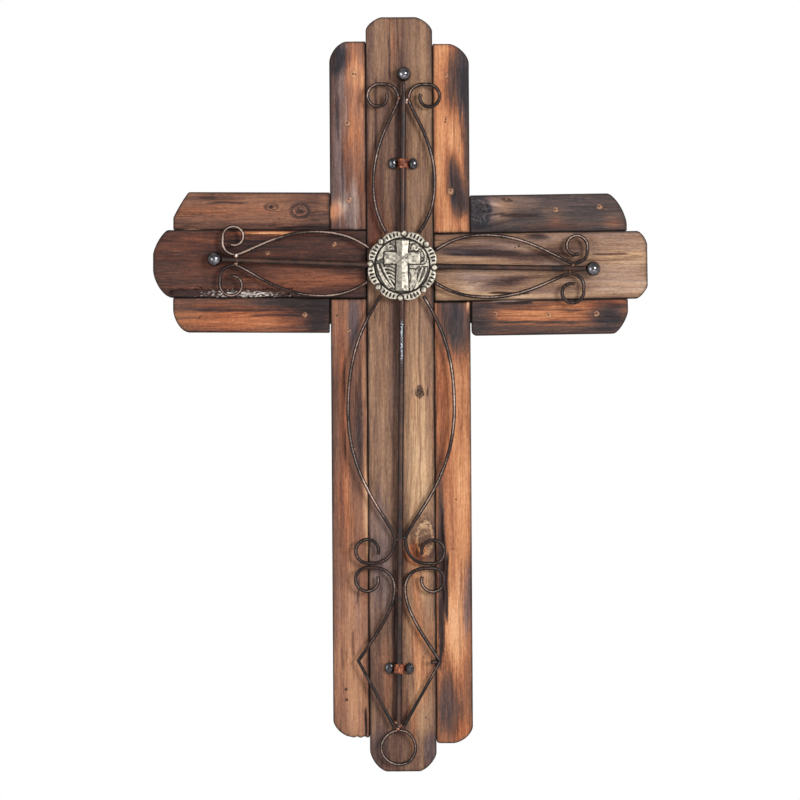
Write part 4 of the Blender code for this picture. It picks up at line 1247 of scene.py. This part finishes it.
# %% Beads of weld
bead_metal = Finish("weld_metal")
bead_tone = bead_metal.clouds(bead_metal.place(), scale=260.0, detail=3.0)
bead_metal.set(
    base_color=bead_metal.ramp(
        bead_tone,
        [(0.38, paint(84, 56, 45)), (0.52, paint(156, 104, 80)), (0.64, paint(228, 214, 204))],
    )
)
bead_metal.set(metallic=0.85, roughness=0.22 + bead_tone * 0.2)
BRIGHT_BEADS = (
    ("top", 135.0, 3.6, 1.3),
    ("top", 133.9, -3.4, 1.8),
    ("top", 132.0, -2.6, 1.4),
    ("left", 134.5, -3.2, 1.9),
    ("left", 133.2, 0.6, 1.3),
    ("left", 134.2, 3.2, 1.5),
    ("right", 138.0, 3.0, 1.3),
    ("right", 135.0, -3.0, 1.2),
    ("bottom", 368.0, -2.4, 1.5),
    ("bottom", 371.0, 1.2, 1.8),
    ("bottom", 373.4, -0.4, 1.6),
)
DARK_BEADS = (
    ("bottom", 219.0, 3.0, 1.5),
    ("bottom", 221.0, -3.0, 1.5),
    ("bottom", 259.4, 3.0, 1.5),
    ("bottom", 261.2, -3.0, 1.5),
)


def lay_beads(name, rows, material):
    beads = []
    for branch, reach, aside, radius in rows:
        at = BRANCHES[branch] @ Vector((reach * MM, aside * MM, 0.9 * MM))
        bpy.ops.object.select_all(action="DESELECT")
        bpy.ops.mesh.primitive_ico_sphere_add(subdivisions=4, radius=radius * MM, location=at)
        bead = bpy.context.object
        bpy.ops.object.transform_apply(location=True, rotation=True, scale=True)
        hand_worked(bead, 0.0022, 0.0013)
        beads.append(bead)
    join_all(beads)
    beads[0].name = name
    mark_front(beads[0])
    finish_piece(beads[0], material, "dark_iron", sharp=80.0)


lay_beads("bright_welds", BRIGHT_BEADS, bead_metal.material)
lay_beads("dark_welds", DARK_BEADS, rod_iron)

# %% [markdown]
# ## Steel balls
#
# A ball from a bearing is welded to three of the rod ends. It is the only polished
# thing here, dark because it was heated. A fine sphere and smudges in its roughness
# are enough.

# %% Balls
ball_steel = Finish("ball_steel")
smudge = ball_steel.clouds(ball_steel.place(), scale=260.0, detail=4.0)
ball_steel.set(base_color=ball_steel.ramp(smudge, [(0.35, paint(84, 82, 85)), (0.65, paint(150, 148, 152))]))
ball_steel.set(metallic=1.0, roughness=0.06 + smudge * 0.22)
ball_steel.bump(smudge, 0.15, 0.0004)
BALL_RADIUS = 6.0 * MM


def make_ball(name, branch, reach):
    at = BRANCHES[branch] @ Vector((reach * MM, 0.0, 0.0))
    bpy.ops.object.select_all(action="DESELECT")
    bpy.ops.mesh.primitive_uv_sphere_add(segments=64, ring_count=40, radius=BALL_RADIUS, location=at)
    ball = bpy.context.object
    ball.name = name + "_polished"
    bpy.ops.object.transform_apply(location=True, rotation=True, scale=True)
    hand_worked(ball, 0.006, 0.00012)
    finish_piece(ball, ball_steel.material, "ball_steel", name, sharp=80.0)


for branch, reach in BALL_REACH.items():
    make_ball(branch + "_ball", branch, reach)

# %% [markdown]
# ## Straps and nails
#
# Two straps of rusted iron hold the upright rod down, and each is nailed through both
# feet. The strap is a flat bar bent over the rod: a thin box is cut into slices and each
# slice is laid on the bent line, because the bend operator needs a window. The nails'
# heads were hammered, which leaves flat facets that flash.

# %% Finishes of strap and nail
strap_rust = Finish("strap_rust")
flakes = strap_rust.clouds(strap_rust.place(), scale=420.0, detail=4.0, rough=0.65)
strap_rust.set(
    base_color=strap_rust.ramp(
        flakes,
        [
            (0.34, paint(42, 27, 25)),
            (0.47, paint(108, 55, 38)),
            (0.6, paint(168, 92, 58)),
            (0.7, paint(220, 156, 116)),
        ],
    )
)
strap_rust.set(metallic=0.35, roughness=0.42 + flakes * 0.3)
strap_rust.bump(flakes, 0.6, 0.0008)

nail_black = Finish("nail_black")
scale_marks = nail_black.clouds(nail_black.place(), scale=520.0, detail=3.0)
nail_black.set(base_color=nail_black.ramp(scale_marks, [(0.3, paint(22, 22, 26)), (0.7, paint(58, 58, 64))]))
nail_black.set(metallic=0.5, roughness=0.16 + scale_marks * 0.16, coat_weight=1.0, coat_roughness=0.06)
nail_black.bump(scale_marks, 0.25, 0.0003)
print("strap and nail finishes ready")

# %% Bend a strap over the rod
STRAP_HALF = 3.6 * MM
STRAP_THICK = 1.0 * MM
OVER_ROD = ROD_RADIUS + 0.3 * MM + STRAP_THICK / 2
SOLE = -5.8 * MM + STRAP_THICK / 2
FOOT_END = 10.8 * MM
STRAP_SLICES = 88
STRAP_ROWS = 22
LINE_PLACES = 400
STRAP_REACH = {"upper": 82.7 * MM, "lower": -324.8 * MM}


def strap_line():
    """Middle line of the strap: a foot, up, over the rod, down, and a foot."""
    line = [(-FOOT_END, SOLE), (-OVER_ROD - 0.8 * MM, SOLE), (-OVER_ROD - 0.2 * MM, SOLE + 0.3 * MM)]
    line += [(-OVER_ROD, SOLE + 1.0 * MM)]
    for step in range(17):
        angle = math.pi - math.pi * step / 16
        line.append((OVER_ROD * math.cos(angle), OVER_ROD * math.sin(angle)))
    return line + [(-x, z) for x, z in reversed(line[:4])]


def along_line(line, count):
    """Evenly spaced places on the line, and the direction that faces outwards there."""
    corners = np.array(line)
    gone = np.concatenate([[0.0], np.cumsum(np.hypot(*np.diff(corners, axis=0).T))])
    at = np.linspace(0.0, gone[-1], count)
    x, z = np.interp(at, gone, corners[:, 0]), np.interp(at, gone, corners[:, 1])
    run = np.column_stack([np.gradient(x), np.gradient(z)])
    run /= np.linalg.norm(run, axis=1)[:, None]
    return np.column_stack([x, z]), np.column_stack([-run[:, 1], run[:, 0]])


def make_strap(word, reach):
    space = IRON @ Matrix.Translation((0.0, reach, 0.0))
    bpy.ops.object.select_all(action="DESELECT")
    bpy.ops.mesh.primitive_cube_add(size=1.0)
    strap = bpy.context.object
    strap.name = word + "_strap_bent"
    edit_all(strap)
    bpy.ops.mesh.bevel(offset=0.12, segments=2, affect="EDGES")
    for step in range(1, STRAP_SLICES):
        bpy.ops.mesh.select_all(action="SELECT")
        bpy.ops.mesh.bisect(plane_co=(step / STRAP_SLICES - 0.5, 0, 0), plane_no=(1, 0, 0))
    for step in range(1, STRAP_ROWS):
        bpy.ops.mesh.select_all(action="SELECT")
        bpy.ops.mesh.bisect(plane_co=(0, step / STRAP_ROWS - 0.5, 0), plane_no=(0, 1, 0))
    bpy.ops.object.mode_set(mode="OBJECT")
    points = points_of(strap)
    middle, outward = along_line(strap_line(), LINE_PLACES)
    last = LINE_PLACES - 1
    place = np.clip(np.rint((points[:, 0] + 0.5) * last).astype(int), 0, last)
    lump = rough(points[:, 0] * 16.0, points[:, 1] * 5.0, 4.0 + 50.0 * reach)
    width = STRAP_HALF * 2.0 * (1.0 + 0.12 * rough(points[:, 0] * 7.0, points[:, 1] * 0.0, reach * 90.0))
    thick = STRAP_THICK * points[:, 2] + np.where(points[:, 2] > 0, 0.45 * MM * np.clip(lump + 0.2, 0, 1), 0)
    bent = middle[place] + outward[place] * thick[:, None]
    points = np.column_stack([bent[:, 0], points[:, 1] * width, bent[:, 1]])
    move_points(strap, through(space, points))
    weld_close(strap)
    finish_piece(strap, strap_rust.material, "rusty_strap", word + "_strap")


for word, reach in STRAP_REACH.items():
    make_strap(word, reach)

# %% Hammered nails
HEAD_RADIUS = 4.5 * MM
HEAD_RISE = 2.7 * MM
FOOT_TOP = -4.5 * MM
NAIL_SPREAD = 8.0 * MM


def round_edges(piece, width, segments, angle):
    """Rounds those edges that bend by more than this angle in degrees."""
    bevel = piece.modifiers.new("Rounded edges", "BEVEL")
    bevel.width = width
    bevel.segments = segments
    bevel.limit_method = "ANGLE"
    bevel.angle_limit = math.radians(angle)
    bpy.ops.object.modifier_apply(modifier=bevel.name)


def make_nail(word, hand, reach, side, turn):
    """A domed head with facets, and a shank that goes down into the board."""
    space = IRON @ Matrix.Translation((side * NAIL_SPREAD, reach, FOOT_TOP))
    bpy.ops.object.select_all(action="DESELECT")
    bpy.ops.mesh.primitive_uv_sphere_add(segments=9, ring_count=8, radius=1.0, rotation=(0, 0, turn))
    nail = bpy.context.object
    nail.name = f"{word}_{hand}_nail_hammered"
    bpy.ops.object.transform_apply(location=True, rotation=True, scale=True)
    edit_all(nail)
    bpy.ops.mesh.bisect(plane_co=(0, 0, 0.02), plane_no=(0, 0, 1), clear_inner=True)
    bpy.ops.mesh.select_all(action="SELECT")
    bpy.ops.mesh.region_to_loop()
    for radius, height in ((0.86, -0.02), (0.31, 0.0), (0.30, -2.4), (0.04, -3.2)):
        bpy.ops.mesh.extrude_edges_move()
        bpy.ops.object.mode_set(mode="OBJECT")
        rim = [v for v in nail.data.vertices if v.select]
        for vert in rim:
            angle = math.atan2(vert.co.y, vert.co.x)
            vert.co = (radius * math.cos(angle), radius * math.sin(angle), height)
        bpy.ops.object.mode_set(mode="EDIT")
    bpy.ops.mesh.edge_face_add()
    bpy.ops.mesh.select_all(action="SELECT")
    bpy.ops.mesh.normals_make_consistent(inside=False)
    bpy.ops.object.mode_set(mode="OBJECT")
    points = points_of(nail)
    dent = 1.0 + 0.13 * rough(points[:, 0] * 1.7 + turn, points[:, 1] * 1.7, turn)
    head = points[:, 2] > 0.0
    points *= np.where(head, dent, 1.0)[:, None]
    points[:, 2] = np.minimum(points[:, 2], 1.0)
    points = points * np.array([HEAD_RADIUS * 0.92, HEAD_RADIUS * 1.08, HEAD_RISE])
    move_points(nail, through(space, points))
    round_edges(nail, 0.22 * MM, 2, 14.0)
    finish_piece(nail, nail_black.material, "black_nail", f"{word}_{hand}_nail", sharp=30.0)


for word, left_turn, right_turn in (("upper", 0.3, 1.1), ("lower", 0.7, 2.0)):
    make_nail(word, "left", STRAP_REACH[word], -1, left_turn)
    make_nail(word, "right", STRAP_REACH[word], 1, right_turn)

# %% [markdown]
# ## The concho
#
# A concho is a silver disc from horse tack. This one is a casting: eight lobes with cut
# dashes, a bead between each two, a groove, and a domed middle with scrollwork under a
# plain raised cross. Its section is spun round in one go, which gives a fine net of
# points, and the low relief is then pressed into that net. The crisp parts, the beads
# and the cross, are modelled on their own and joined to it.

# %% Spin the disc
SEAT = IRON @ Matrix.Translation((0.0, 0.0, 2.7 * MM))
LOBES = 8
TWIST = math.radians(-3.0)
RIM_RADIUS = 28.4
LOBES_START = 22.9
BEAD_CIRCLE = 26.0
MEDAL_RADIUS = 21.7
SPIN_STEPS = 420


def medal_height(radius):
    """How high the domed middle stands, in millimetres, at this distance from its centre."""
    share = np.clip(radius / MEDAL_RADIUS, 0.0, 1.0)
    return 3.0 + 2.2 * (1.0 - share**2.6)


def disc_section():
    """Radius and height in millimetres, from the middle of the front to the back."""
    inner = np.linspace(0.0, MEDAL_RADIUS - 0.5, 78)
    section = list(zip(inner, medal_height(inner)))
    section += [(MEDAL_RADIUS - 0.15, 2.75), (MEDAL_RADIUS, 2.2), (MEDAL_RADIUS + 0.2, 1.35)]
    section += [(MEDAL_RADIUS + 0.6, 1.1), (MEDAL_RADIUS + 0.95, 1.3), (MEDAL_RADIUS + 1.15, 1.75)]
    for share in np.linspace(0.0, 1.0, 20):
        radius = MEDAL_RADIUS + 1.3 + (RIM_RADIUS - 0.35 - MEDAL_RADIUS - 1.3) * share
        section.append((radius, 1.95 + 0.35 * math.sin(math.pi * share)))
    section += [(RIM_RADIUS - 0.1, 1.75), (RIM_RADIUS, 1.4), (RIM_RADIUS, 0.5), (RIM_RADIUS - 0.4, 0.0)]
    return section + [(MEDAL_RADIUS, 0.0), (0.0, 0.0)]


def pick(piece, kind, test):
    """Goes into edit mode with only those points or faces selected that pass the test."""
    bpy.ops.object.mode_set(mode="EDIT")
    bpy.ops.mesh.select_mode(type=kind)
    bpy.ops.mesh.select_all(action="DESELECT")
    bpy.ops.object.mode_set(mode="OBJECT")
    for element in piece.data.vertices if kind == "VERT" else piece.data.polygons:
        element.select = test(element)
    bpy.ops.object.mode_set(mode="EDIT")


section = disc_section()
bpy.ops.object.select_all(action="DESELECT")
bpy.ops.mesh.primitive_grid_add(x_subdivisions=len(section) - 1, y_subdivisions=1, size=1.0)
concho = bpy.context.object
concho.name = "concho_cast"
edit_all(concho)
bpy.ops.mesh.bisect(plane_co=(0, 0, 0), plane_no=(0, 1, 0))
bpy.ops.object.mode_set(mode="OBJECT")
pick(concho, "VERT", lambda vert: abs(vert.co.y) > 0.1)
bpy.ops.mesh.delete(type="VERT")
bpy.ops.object.mode_set(mode="OBJECT")
order = sorted(range(len(concho.data.vertices)), key=lambda i: concho.data.vertices[i].co.x)
for index, (radius, height) in zip(order, section):
    concho.data.vertices[index].co = (radius * MM, 0.0, height * MM)
edit_all(concho)
bpy.ops.mesh.spin(steps=SPIN_STEPS, angle=2 * math.pi, center=(0, 0, 0), axis=(0, 0, 1))
bpy.ops.mesh.select_all(action="SELECT")
bpy.ops.mesh.remove_doubles(threshold=0.000002)
bpy.ops.mesh.normals_make_consistent(inside=False)
bpy.ops.object.mode_set(mode="OBJECT")
print("spun net of", len(concho.data.vertices), "points")

# %% [markdown]
# ## Scrollwork on the dome
#
# The dome carries leafy scrolls that flow round the cross. Each is drawn as a short
# spiral or a bow, and the dome rises in a smooth ridge over every line. The ground
# between them stays low and half dirty, and the dirt is blackest at the foot of each
# ridge. The left of the dome gets painted shade on top of that, and both are kept as a
# number for the finish.

# %% Lines of the scrollwork


def spiral(x, y, radius, first, turn, tighten=0.62, count=26):
    steps = np.linspace(0.0, 1.0, count)
    angle = np.radians(first + turn * steps)
    reach = radius * (1.0 - tighten * steps)
    return np.column_stack([x + reach * np.cos(angle), y + reach * np.sin(angle)])


def bow(start, middle, end, count=22):
    t = np.linspace(0.0, 1.0, count)[:, None]
    corners = [np.array(point, dtype=float) for point in (start, middle, end)]
    return corners[0] * (1 - t) ** 2 + 2 * corners[1] * t * (1 - t) + corners[2] * t**2


def fan(first, last, count):
    """Bows in even steps from the first one to the last."""
    first, last = np.array(first, dtype=float), np.array(last, dtype=float)
    return [bow(*(first + (last - first) * step / (count - 1))) for step in range(count)]


SCROLLWORK = [
    spiral(15.4, 4.4, 3.0, 30, -330, 0.7),
    spiral(10.6, 14.2, 3.0, 200, -380, 0.7),
    bow((9.4, 15.6), (20.4, 14.2), (18.4, 4.0)),
    bow((6.4, 18.6), (14.4, 20.0), (19.8, 9.6)),
    bow((-16.8, 1.6), (-13.6, -7.4), (-6.6, -17.8)),
    spiral(-9.8, 14.0, 2.6, -20, 360, 0.7),
]
FANS = (
    (((13.2, -1.8), (9.0, -7.4), (12.4, -14.4)), ((19.4, -1.6), (19.2, -9.4), (10.4, -18.4)), 3),
    (((5.8, -3.4), (10.6, -9.6), (5.8, -15.4)), ((9.6, -3.4), (13.4, -11.6), (7.0, -19.4)), 3),
    (((-14.0, -1.8), (-10.0, -1.4), (-6.4, -4.0)), ((-9.8, -10.6), (-8.0, -10.4), (-6.0, -13.4)), 4),
    (((-19.8, 0.6), (-18.8, -9.0), (-10.6, -18.0)), ((-18.2, -3.0), (-16.0, -9.6), (-9.0, -17.2)), 2),
    (((-19.6, 4.6), (-18.4, 13.6), (-10.8, 18.0)), ((-15.8, 6.6), (-14.6, 11.0), (-11.6, 12.2)), 4),
)
for first, last, count in FANS:
    SCROLLWORK += fan(first, last, count)
print("lines of scrollwork", len(SCROLLWORK))

# %% Press the relief into the net
points = points_of(concho) / MM
radius = np.hypot(points[:, 0], points[:, 1])
angle = np.arctan2(points[:, 1], points[:, 0])
facing = points[:, 2] > 1.0
lobe_turn = (angle - TWIST) * LOBES / 2.0
swell = np.abs(np.sin(lobe_turn)) ** 0.55
lobed = RIM_RADIUS - 3.4 * (1.0 - swell)
beyond = np.clip((radius - LOBES_START) / (RIM_RADIUS - LOBES_START), 0.0, 1.0)
new_radius = np.where(radius > LOBES_START, LOBES_START + (lobed - LOBES_START) * beyond, radius)
scale = np.where(radius > 0.01, new_radius / np.maximum(radius, 0.01), 1.0)
points[:, 0] *= scale
points[:, 1] *= scale
radius = new_radius

nearest = np.full(len(points), 9.0)
for line in SCROLLWORK:
    for start, end in zip(line[:-1], line[1:]):
        run = end - start
        share = ((points[:, :2] - start) @ run) / max(run @ run, 1e-9)
        foot = start + np.clip(share, 0.0, 1.0)[:, None] * run
        nearest = np.minimum(nearest, np.hypot(*(points[:, :2] - foot).T))
ridge = np.exp(-((nearest / 0.80) ** 2))
on_dome = facing & (radius < MEDAL_RADIUS - 0.4)
on_upright = np.maximum(np.abs(points[:, 0]) - 5.0, np.maximum(points[:, 1] - 20.2, -20.2 - points[:, 1]))
on_arms = np.maximum(np.abs(points[:, 0]) - 14.4, np.abs(points[:, 1] - 6.0) - 4.8)
by_cross = np.clip(1.0 - (np.minimum(on_upright, on_arms) - 0.5) / 0.7, 0.0, 1.0)
ridge *= 1.0 - by_cross
hewn = rough(points[:, 0] * 0.9, points[:, 1] * 0.9, 3.0)
points[:, 2] += np.where(on_dome, 0.75 * ridge - 0.35 + 0.14 * hewn, 0.0)
# Painted shade: the left of the dome is darkened, since the light falls from the right.
shadowed = 0.14 * np.clip((-points[:, 0] - 4.0) / 6.0, 0.0, 1.0)
outline = 0.75 * np.exp(-(((nearest - 1.15) / 0.34) ** 2))
hollow_and_shade = np.where(on_dome, 0.46 + shadowed - 0.42 * ridge + outline + 0.2 * hewn, 0.0)
hollow_and_shade = np.maximum(hollow_and_shade, np.where(on_dome, 1.1 * by_cross, 0.0))

lobe_place = ((angle - TWIST) / (2 * math.pi / LOBES)) % 1.0 - 0.5
DASHES = (-0.22, -0.075, 0.075, 0.22)
dash = np.zeros(len(points))
for place in DASHES:
    aside = (lobe_place - place) * 2 * math.pi / LOBES * radius / 0.56
    lengthways = (radius - 25.5) / (2.0 - abs(place) * 2.6)
    dash = np.maximum(dash, np.exp(-(aside**2)) * np.exp(-(lengthways**4)))
on_rim = facing & (radius > MEDAL_RADIUS + 1.0)
points[:, 2] -= np.where(on_rim, 0.75 * dash, 0.0)
hollow_and_shade = np.maximum(hollow_and_shade, np.where(on_rim, np.clip(dash * 3.0, 0.0, 1.4), 0.0))
in_groove = facing & (radius > MEDAL_RADIUS - 0.4) & (radius < MEDAL_RADIUS + 1.1)
hollow_and_shade = np.maximum(hollow_and_shade, np.where(in_groove, 0.9, 0.0))
berry_gap = np.full(len(points), 9.0)
for lobe in range(LOBES):
    turn = TWIST + 2 * math.pi * lobe / LOBES
    aside = points[:, :2] - BEAD_CIRCLE * np.array([math.cos(turn), math.sin(turn)])
    gap = np.hypot(aside[:, 0], aside[:, 1])
    berry_gap = np.minimum(berry_gap, gap)
hollow_and_shade = np.maximum(hollow_and_shade, np.where(facing, 1.0 - np.clip((berry_gap - 2.9) / 0.9, 0.0, 1.0), 0.3))
keep_number(concho, "patina", hollow_and_shade)
move_points(concho, points * MM)
print("highest point of the net", round(points[:, 2].max(), 2), "mm")

# %% Beads between the lobes
parts_of_concho = [concho]
for lobe in range(LOBES):
    turn = TWIST + 2 * math.pi * lobe / LOBES
    at = (BEAD_CIRCLE * MM * math.cos(turn), BEAD_CIRCLE * MM * math.sin(turn), 2.2 * MM)
    bpy.ops.object.select_all(action="DESELECT")
    bpy.ops.mesh.primitive_cube_add(size=3.9 * MM, location=at, rotation=(0, 0, turn + math.radians(45.0)))
    bead = bpy.context.object
    bpy.ops.object.transform_apply(location=True, rotation=True, scale=True)
    round_edges(bead, 1.25 * MM, 5, 30.0)
    heights = points_of(bead)[:, 2] / MM
    foot = np.clip((2.9 - heights) / 1.0, 0.0, 1.0)
    keep_number(bead, "patina", foot)
    parts_of_concho.append(bead)
print("beads", LOBES)

# %% [markdown]
# ## The raised cross on the dome
#
# The small cross is built from one block: its four sides are extruded into arms that
# flare a little, planes are cut along the middle of each arm and across the corners of
# the crossing, and the points on those cuts are lifted to make ridges. Slight dents
# then give it the look of hewn timber.

# %% Raised cross
HALF_BAR = 4.3
CROSS_MIDDLE = 6.0
CROSS_FOOT = 2.9
CROSS_EAVES = 6.0
CROSS_RIDGE = 6.8
ARM_ENDS = (((0, 1), 14.2), ((0, -1), 26.2), ((1, 0), 14.4), ((-1, 0), 14.4))

bpy.ops.object.select_all(action="DESELECT")
bpy.ops.mesh.primitive_cube_add(size=1.0)
cross = bpy.context.object
cross.scale = (2 * HALF_BAR, 2 * HALF_BAR, CROSS_EAVES - CROSS_FOOT)
cross.location = (0.0, 0.0, (CROSS_EAVES + CROSS_FOOT) / 2)
bpy.ops.object.transform_apply(location=True, rotation=True, scale=True)
for (side_x, side_y), reach in ARM_ENDS:
    outward = Vector((side_x, side_y, 0.0))
    pick(cross, "FACE", lambda face: (face.center.xy - outward.xy * HALF_BAR).length < 0.5)
    bpy.ops.mesh.extrude_region_move(
        TRANSFORM_OT_translate={"value": outward * (reach - HALF_BAR)}
    )
    flare = (1.0 + 0.22 * abs(side_y), 1.0 + 0.16 * abs(side_x), 1.0)
    bpy.ops.transform.resize(value=flare, center_override=outward * reach)
    bpy.ops.object.mode_set(mode="OBJECT")

bpy.ops.object.mode_set(mode="EDIT")
for normal in ((1, 0, 0), (0, 1, 0), (1, 1, 0), (1, -1, 0)):
    bpy.ops.mesh.select_all(action="SELECT")
    bpy.ops.mesh.bisect(plane_co=(0, 0, 0), plane_no=normal)
bpy.ops.object.mode_set(mode="OBJECT")
for vert in cross.data.vertices:
    on_ridge = min(abs(vert.co.x), abs(vert.co.y)) < 0.01
    if on_ridge and vert.co.z > CROSS_EAVES - 0.01:
        vert.co.z = CROSS_RIDGE
print("cross has", len(cross.data.polygons), "faces before it is smoothed")

# %% Soften the cross and join the casting
round_edges(cross, 0.35, 3, 12.0)
edit_all(cross)
bpy.ops.mesh.quads_convert_to_tris()
for _ in range(3):
    bpy.ops.mesh.subdivide(number_cuts=1)
bpy.ops.object.mode_set(mode="OBJECT")
points = points_of(cross)
dents = rough(points[:, 0] * 0.55, points[:, 1] * 0.55, 8.0)
dents += 0.5 * rough(points[:, 0] * 1.7, points[:, 1] * 1.7, 9.0)
top_side = points[:, 2] > CROSS_EAVES - 0.6
points[:, 2] += np.where(top_side, 0.16 * dents - 0.10, 0.0)
shade = np.clip((4.9 - points[:, 2]) / 0.8, 0.0, 1.0)
shade = np.maximum(shade, np.clip(0.2 - dents, 0.0, 0.5) * 0.5)
from_mitre = np.abs(np.abs(points[:, 0]) - np.abs(points[:, 1]))
near_middle = np.hypot(points[:, 0], points[:, 1]) < 1.3 * HALF_BAR
shade = np.maximum(shade, np.where(near_middle, 0.9 * np.exp(-((from_mitre / 0.4) ** 2)), 0.0))
# Painted shade: the upright's left slopes are greyed, since the light falls from the right.
shaded_left_slope = (points[:, 0] < -0.2) & (np.abs(points[:, 0]) < 1.3 * HALF_BAR)
shade = np.maximum(shade, np.where(shaded_left_slope, 0.53 + 0.06 * dents, 0.0))
points[:, 1] += CROSS_MIDDLE
move_points(cross, points * MM)
keep_number(cross, "patina", shade)
parts_of_concho.append(cross)

join_all(parts_of_concho)
concho.data.transform(SEAT)
print("concho", len(concho.data.vertices), "points")

# %% [markdown]
# ## Old silver
#
# The casting is dull white silver with black dirt in every hollow, rubbed bright on the
# high places. The dirt number that was kept with the relief, which also holds painted
# shade on the left of the dome and on the left slopes of the cross, is thickened and
# thinned by noise. Dirt isn't metal, so it takes the metallic value down as well.

# %% Finish of the concho
silver = Finish("old_silver")
kept = silver.split(silver.attribute("patina"))[0]
cloudy = silver.clouds(silver.place(), scale=380.0, detail=4.0)
fine = silver.clouds(silver.place(), scale=1500.0, detail=2.0)
dirt_and_shade = (kept + (cloudy - 0.5) * 0.7 + (fine - 0.5) * 0.35).between(0.38, 0.76)
bright = silver.ramp(cloudy, [(0.35, paint(116, 109, 101)), (0.61, paint(226, 217, 198))])
silver.set(base_color=silver.mix(dirt_and_shade, bright, paint(34, 27, 20)))
silver.set(metallic=0.42 - dirt_and_shade * 0.34, roughness=0.5 + dirt_and_shade * 0.2 + (fine - 0.5) * 0.15)
silver.bump(cloudy * 0.6 + fine * 0.4 - dirt_and_shade * 0.6, 0.35, 0.0004)
finish_piece(concho, silver.material, "old_silver", "concho", sharp=32.0)

# %% [markdown]
# ## Floor, sky and lights
#
# A plain white surround keeps the picture as clean as the original. The lamps are broad
# and soft: the key from the upper right, a weaker one from the left, a small one from
# below and one behind for the back. The steel balls mirror them. The white that the
# camera sees is kept apart from the grey that lights the cross, or every metal would
# turn white.

# %% Surround and lamps
world = bpy.data.worlds.new("studio")
bpy.context.scene.world = world
world.use_nodes = True
sky = world.node_tree
background = sky.nodes["Background"]
background.inputs["Color"].default_value = (0.55, 0.55, 0.56, 1.0)
background.inputs["Strength"].default_value = 0.75
seen = sky.nodes.new("ShaderNodeBackground")
seen.inputs["Color"].default_value = (1.0, 1.0, 1.0, 1.0)
path = sky.nodes.new("ShaderNodeLightPath")
blend = sky.nodes.new("ShaderNodeMixShader")
sky.links.new(path.outputs["Is Camera Ray"], blend.inputs[0])
sky.links.new(background.outputs[0], blend.inputs[1])
sky.links.new(seen.outputs[0], blend.inputs[2])
sky.links.new(blend.outputs[0], sky.nodes["World Output"].inputs[0])
bpy.context.scene.view_settings.view_transform = "Standard"

TARGET = Vector((0.0, 0.0, -0.25))


def lamp(name, at, size, power):
    light = bpy.data.lights.new(name, "AREA")
    light.size = size
    light.energy = power
    piece = bpy.data.objects.new(name, light)
    bpy.context.scene.collection.objects.link(piece)
    piece.location = at
    piece.rotation_euler = (TARGET - Vector(at)).to_track_quat("-Z", "Y").to_euler()


lamp("key", (1.5, -2.4, 0.35), 0.8, 52.0)
lamp("fill", (-2.0, -2.2, -0.3), 1.6, 24.0)
lamp("low", (0.6, -2.4, -1.6), 0.9, 15.0)
lamp("behind", (0.9, 1.9, 0.9), 1.4, 24.0)

bpy.ops.object.select_all(action="DESELECT")
bpy.ops.mesh.primitive_plane_add(size=3.2, location=(0.0, 0.0, -0.98))
floor = bpy.context.object
floor.name = "floor"
pale = Finish("floor_pale")
drift = pale.clouds(pale.place(), scale=3.0)
pale.set(base_color=pale.ramp(drift, [(0.3, (0.78, 0.78, 0.78)), (0.7, (0.84, 0.84, 0.84))]), roughness=0.8)
floor.data.materials.append(pale.material)

# %% The end
bpy.context.view_layer.update()
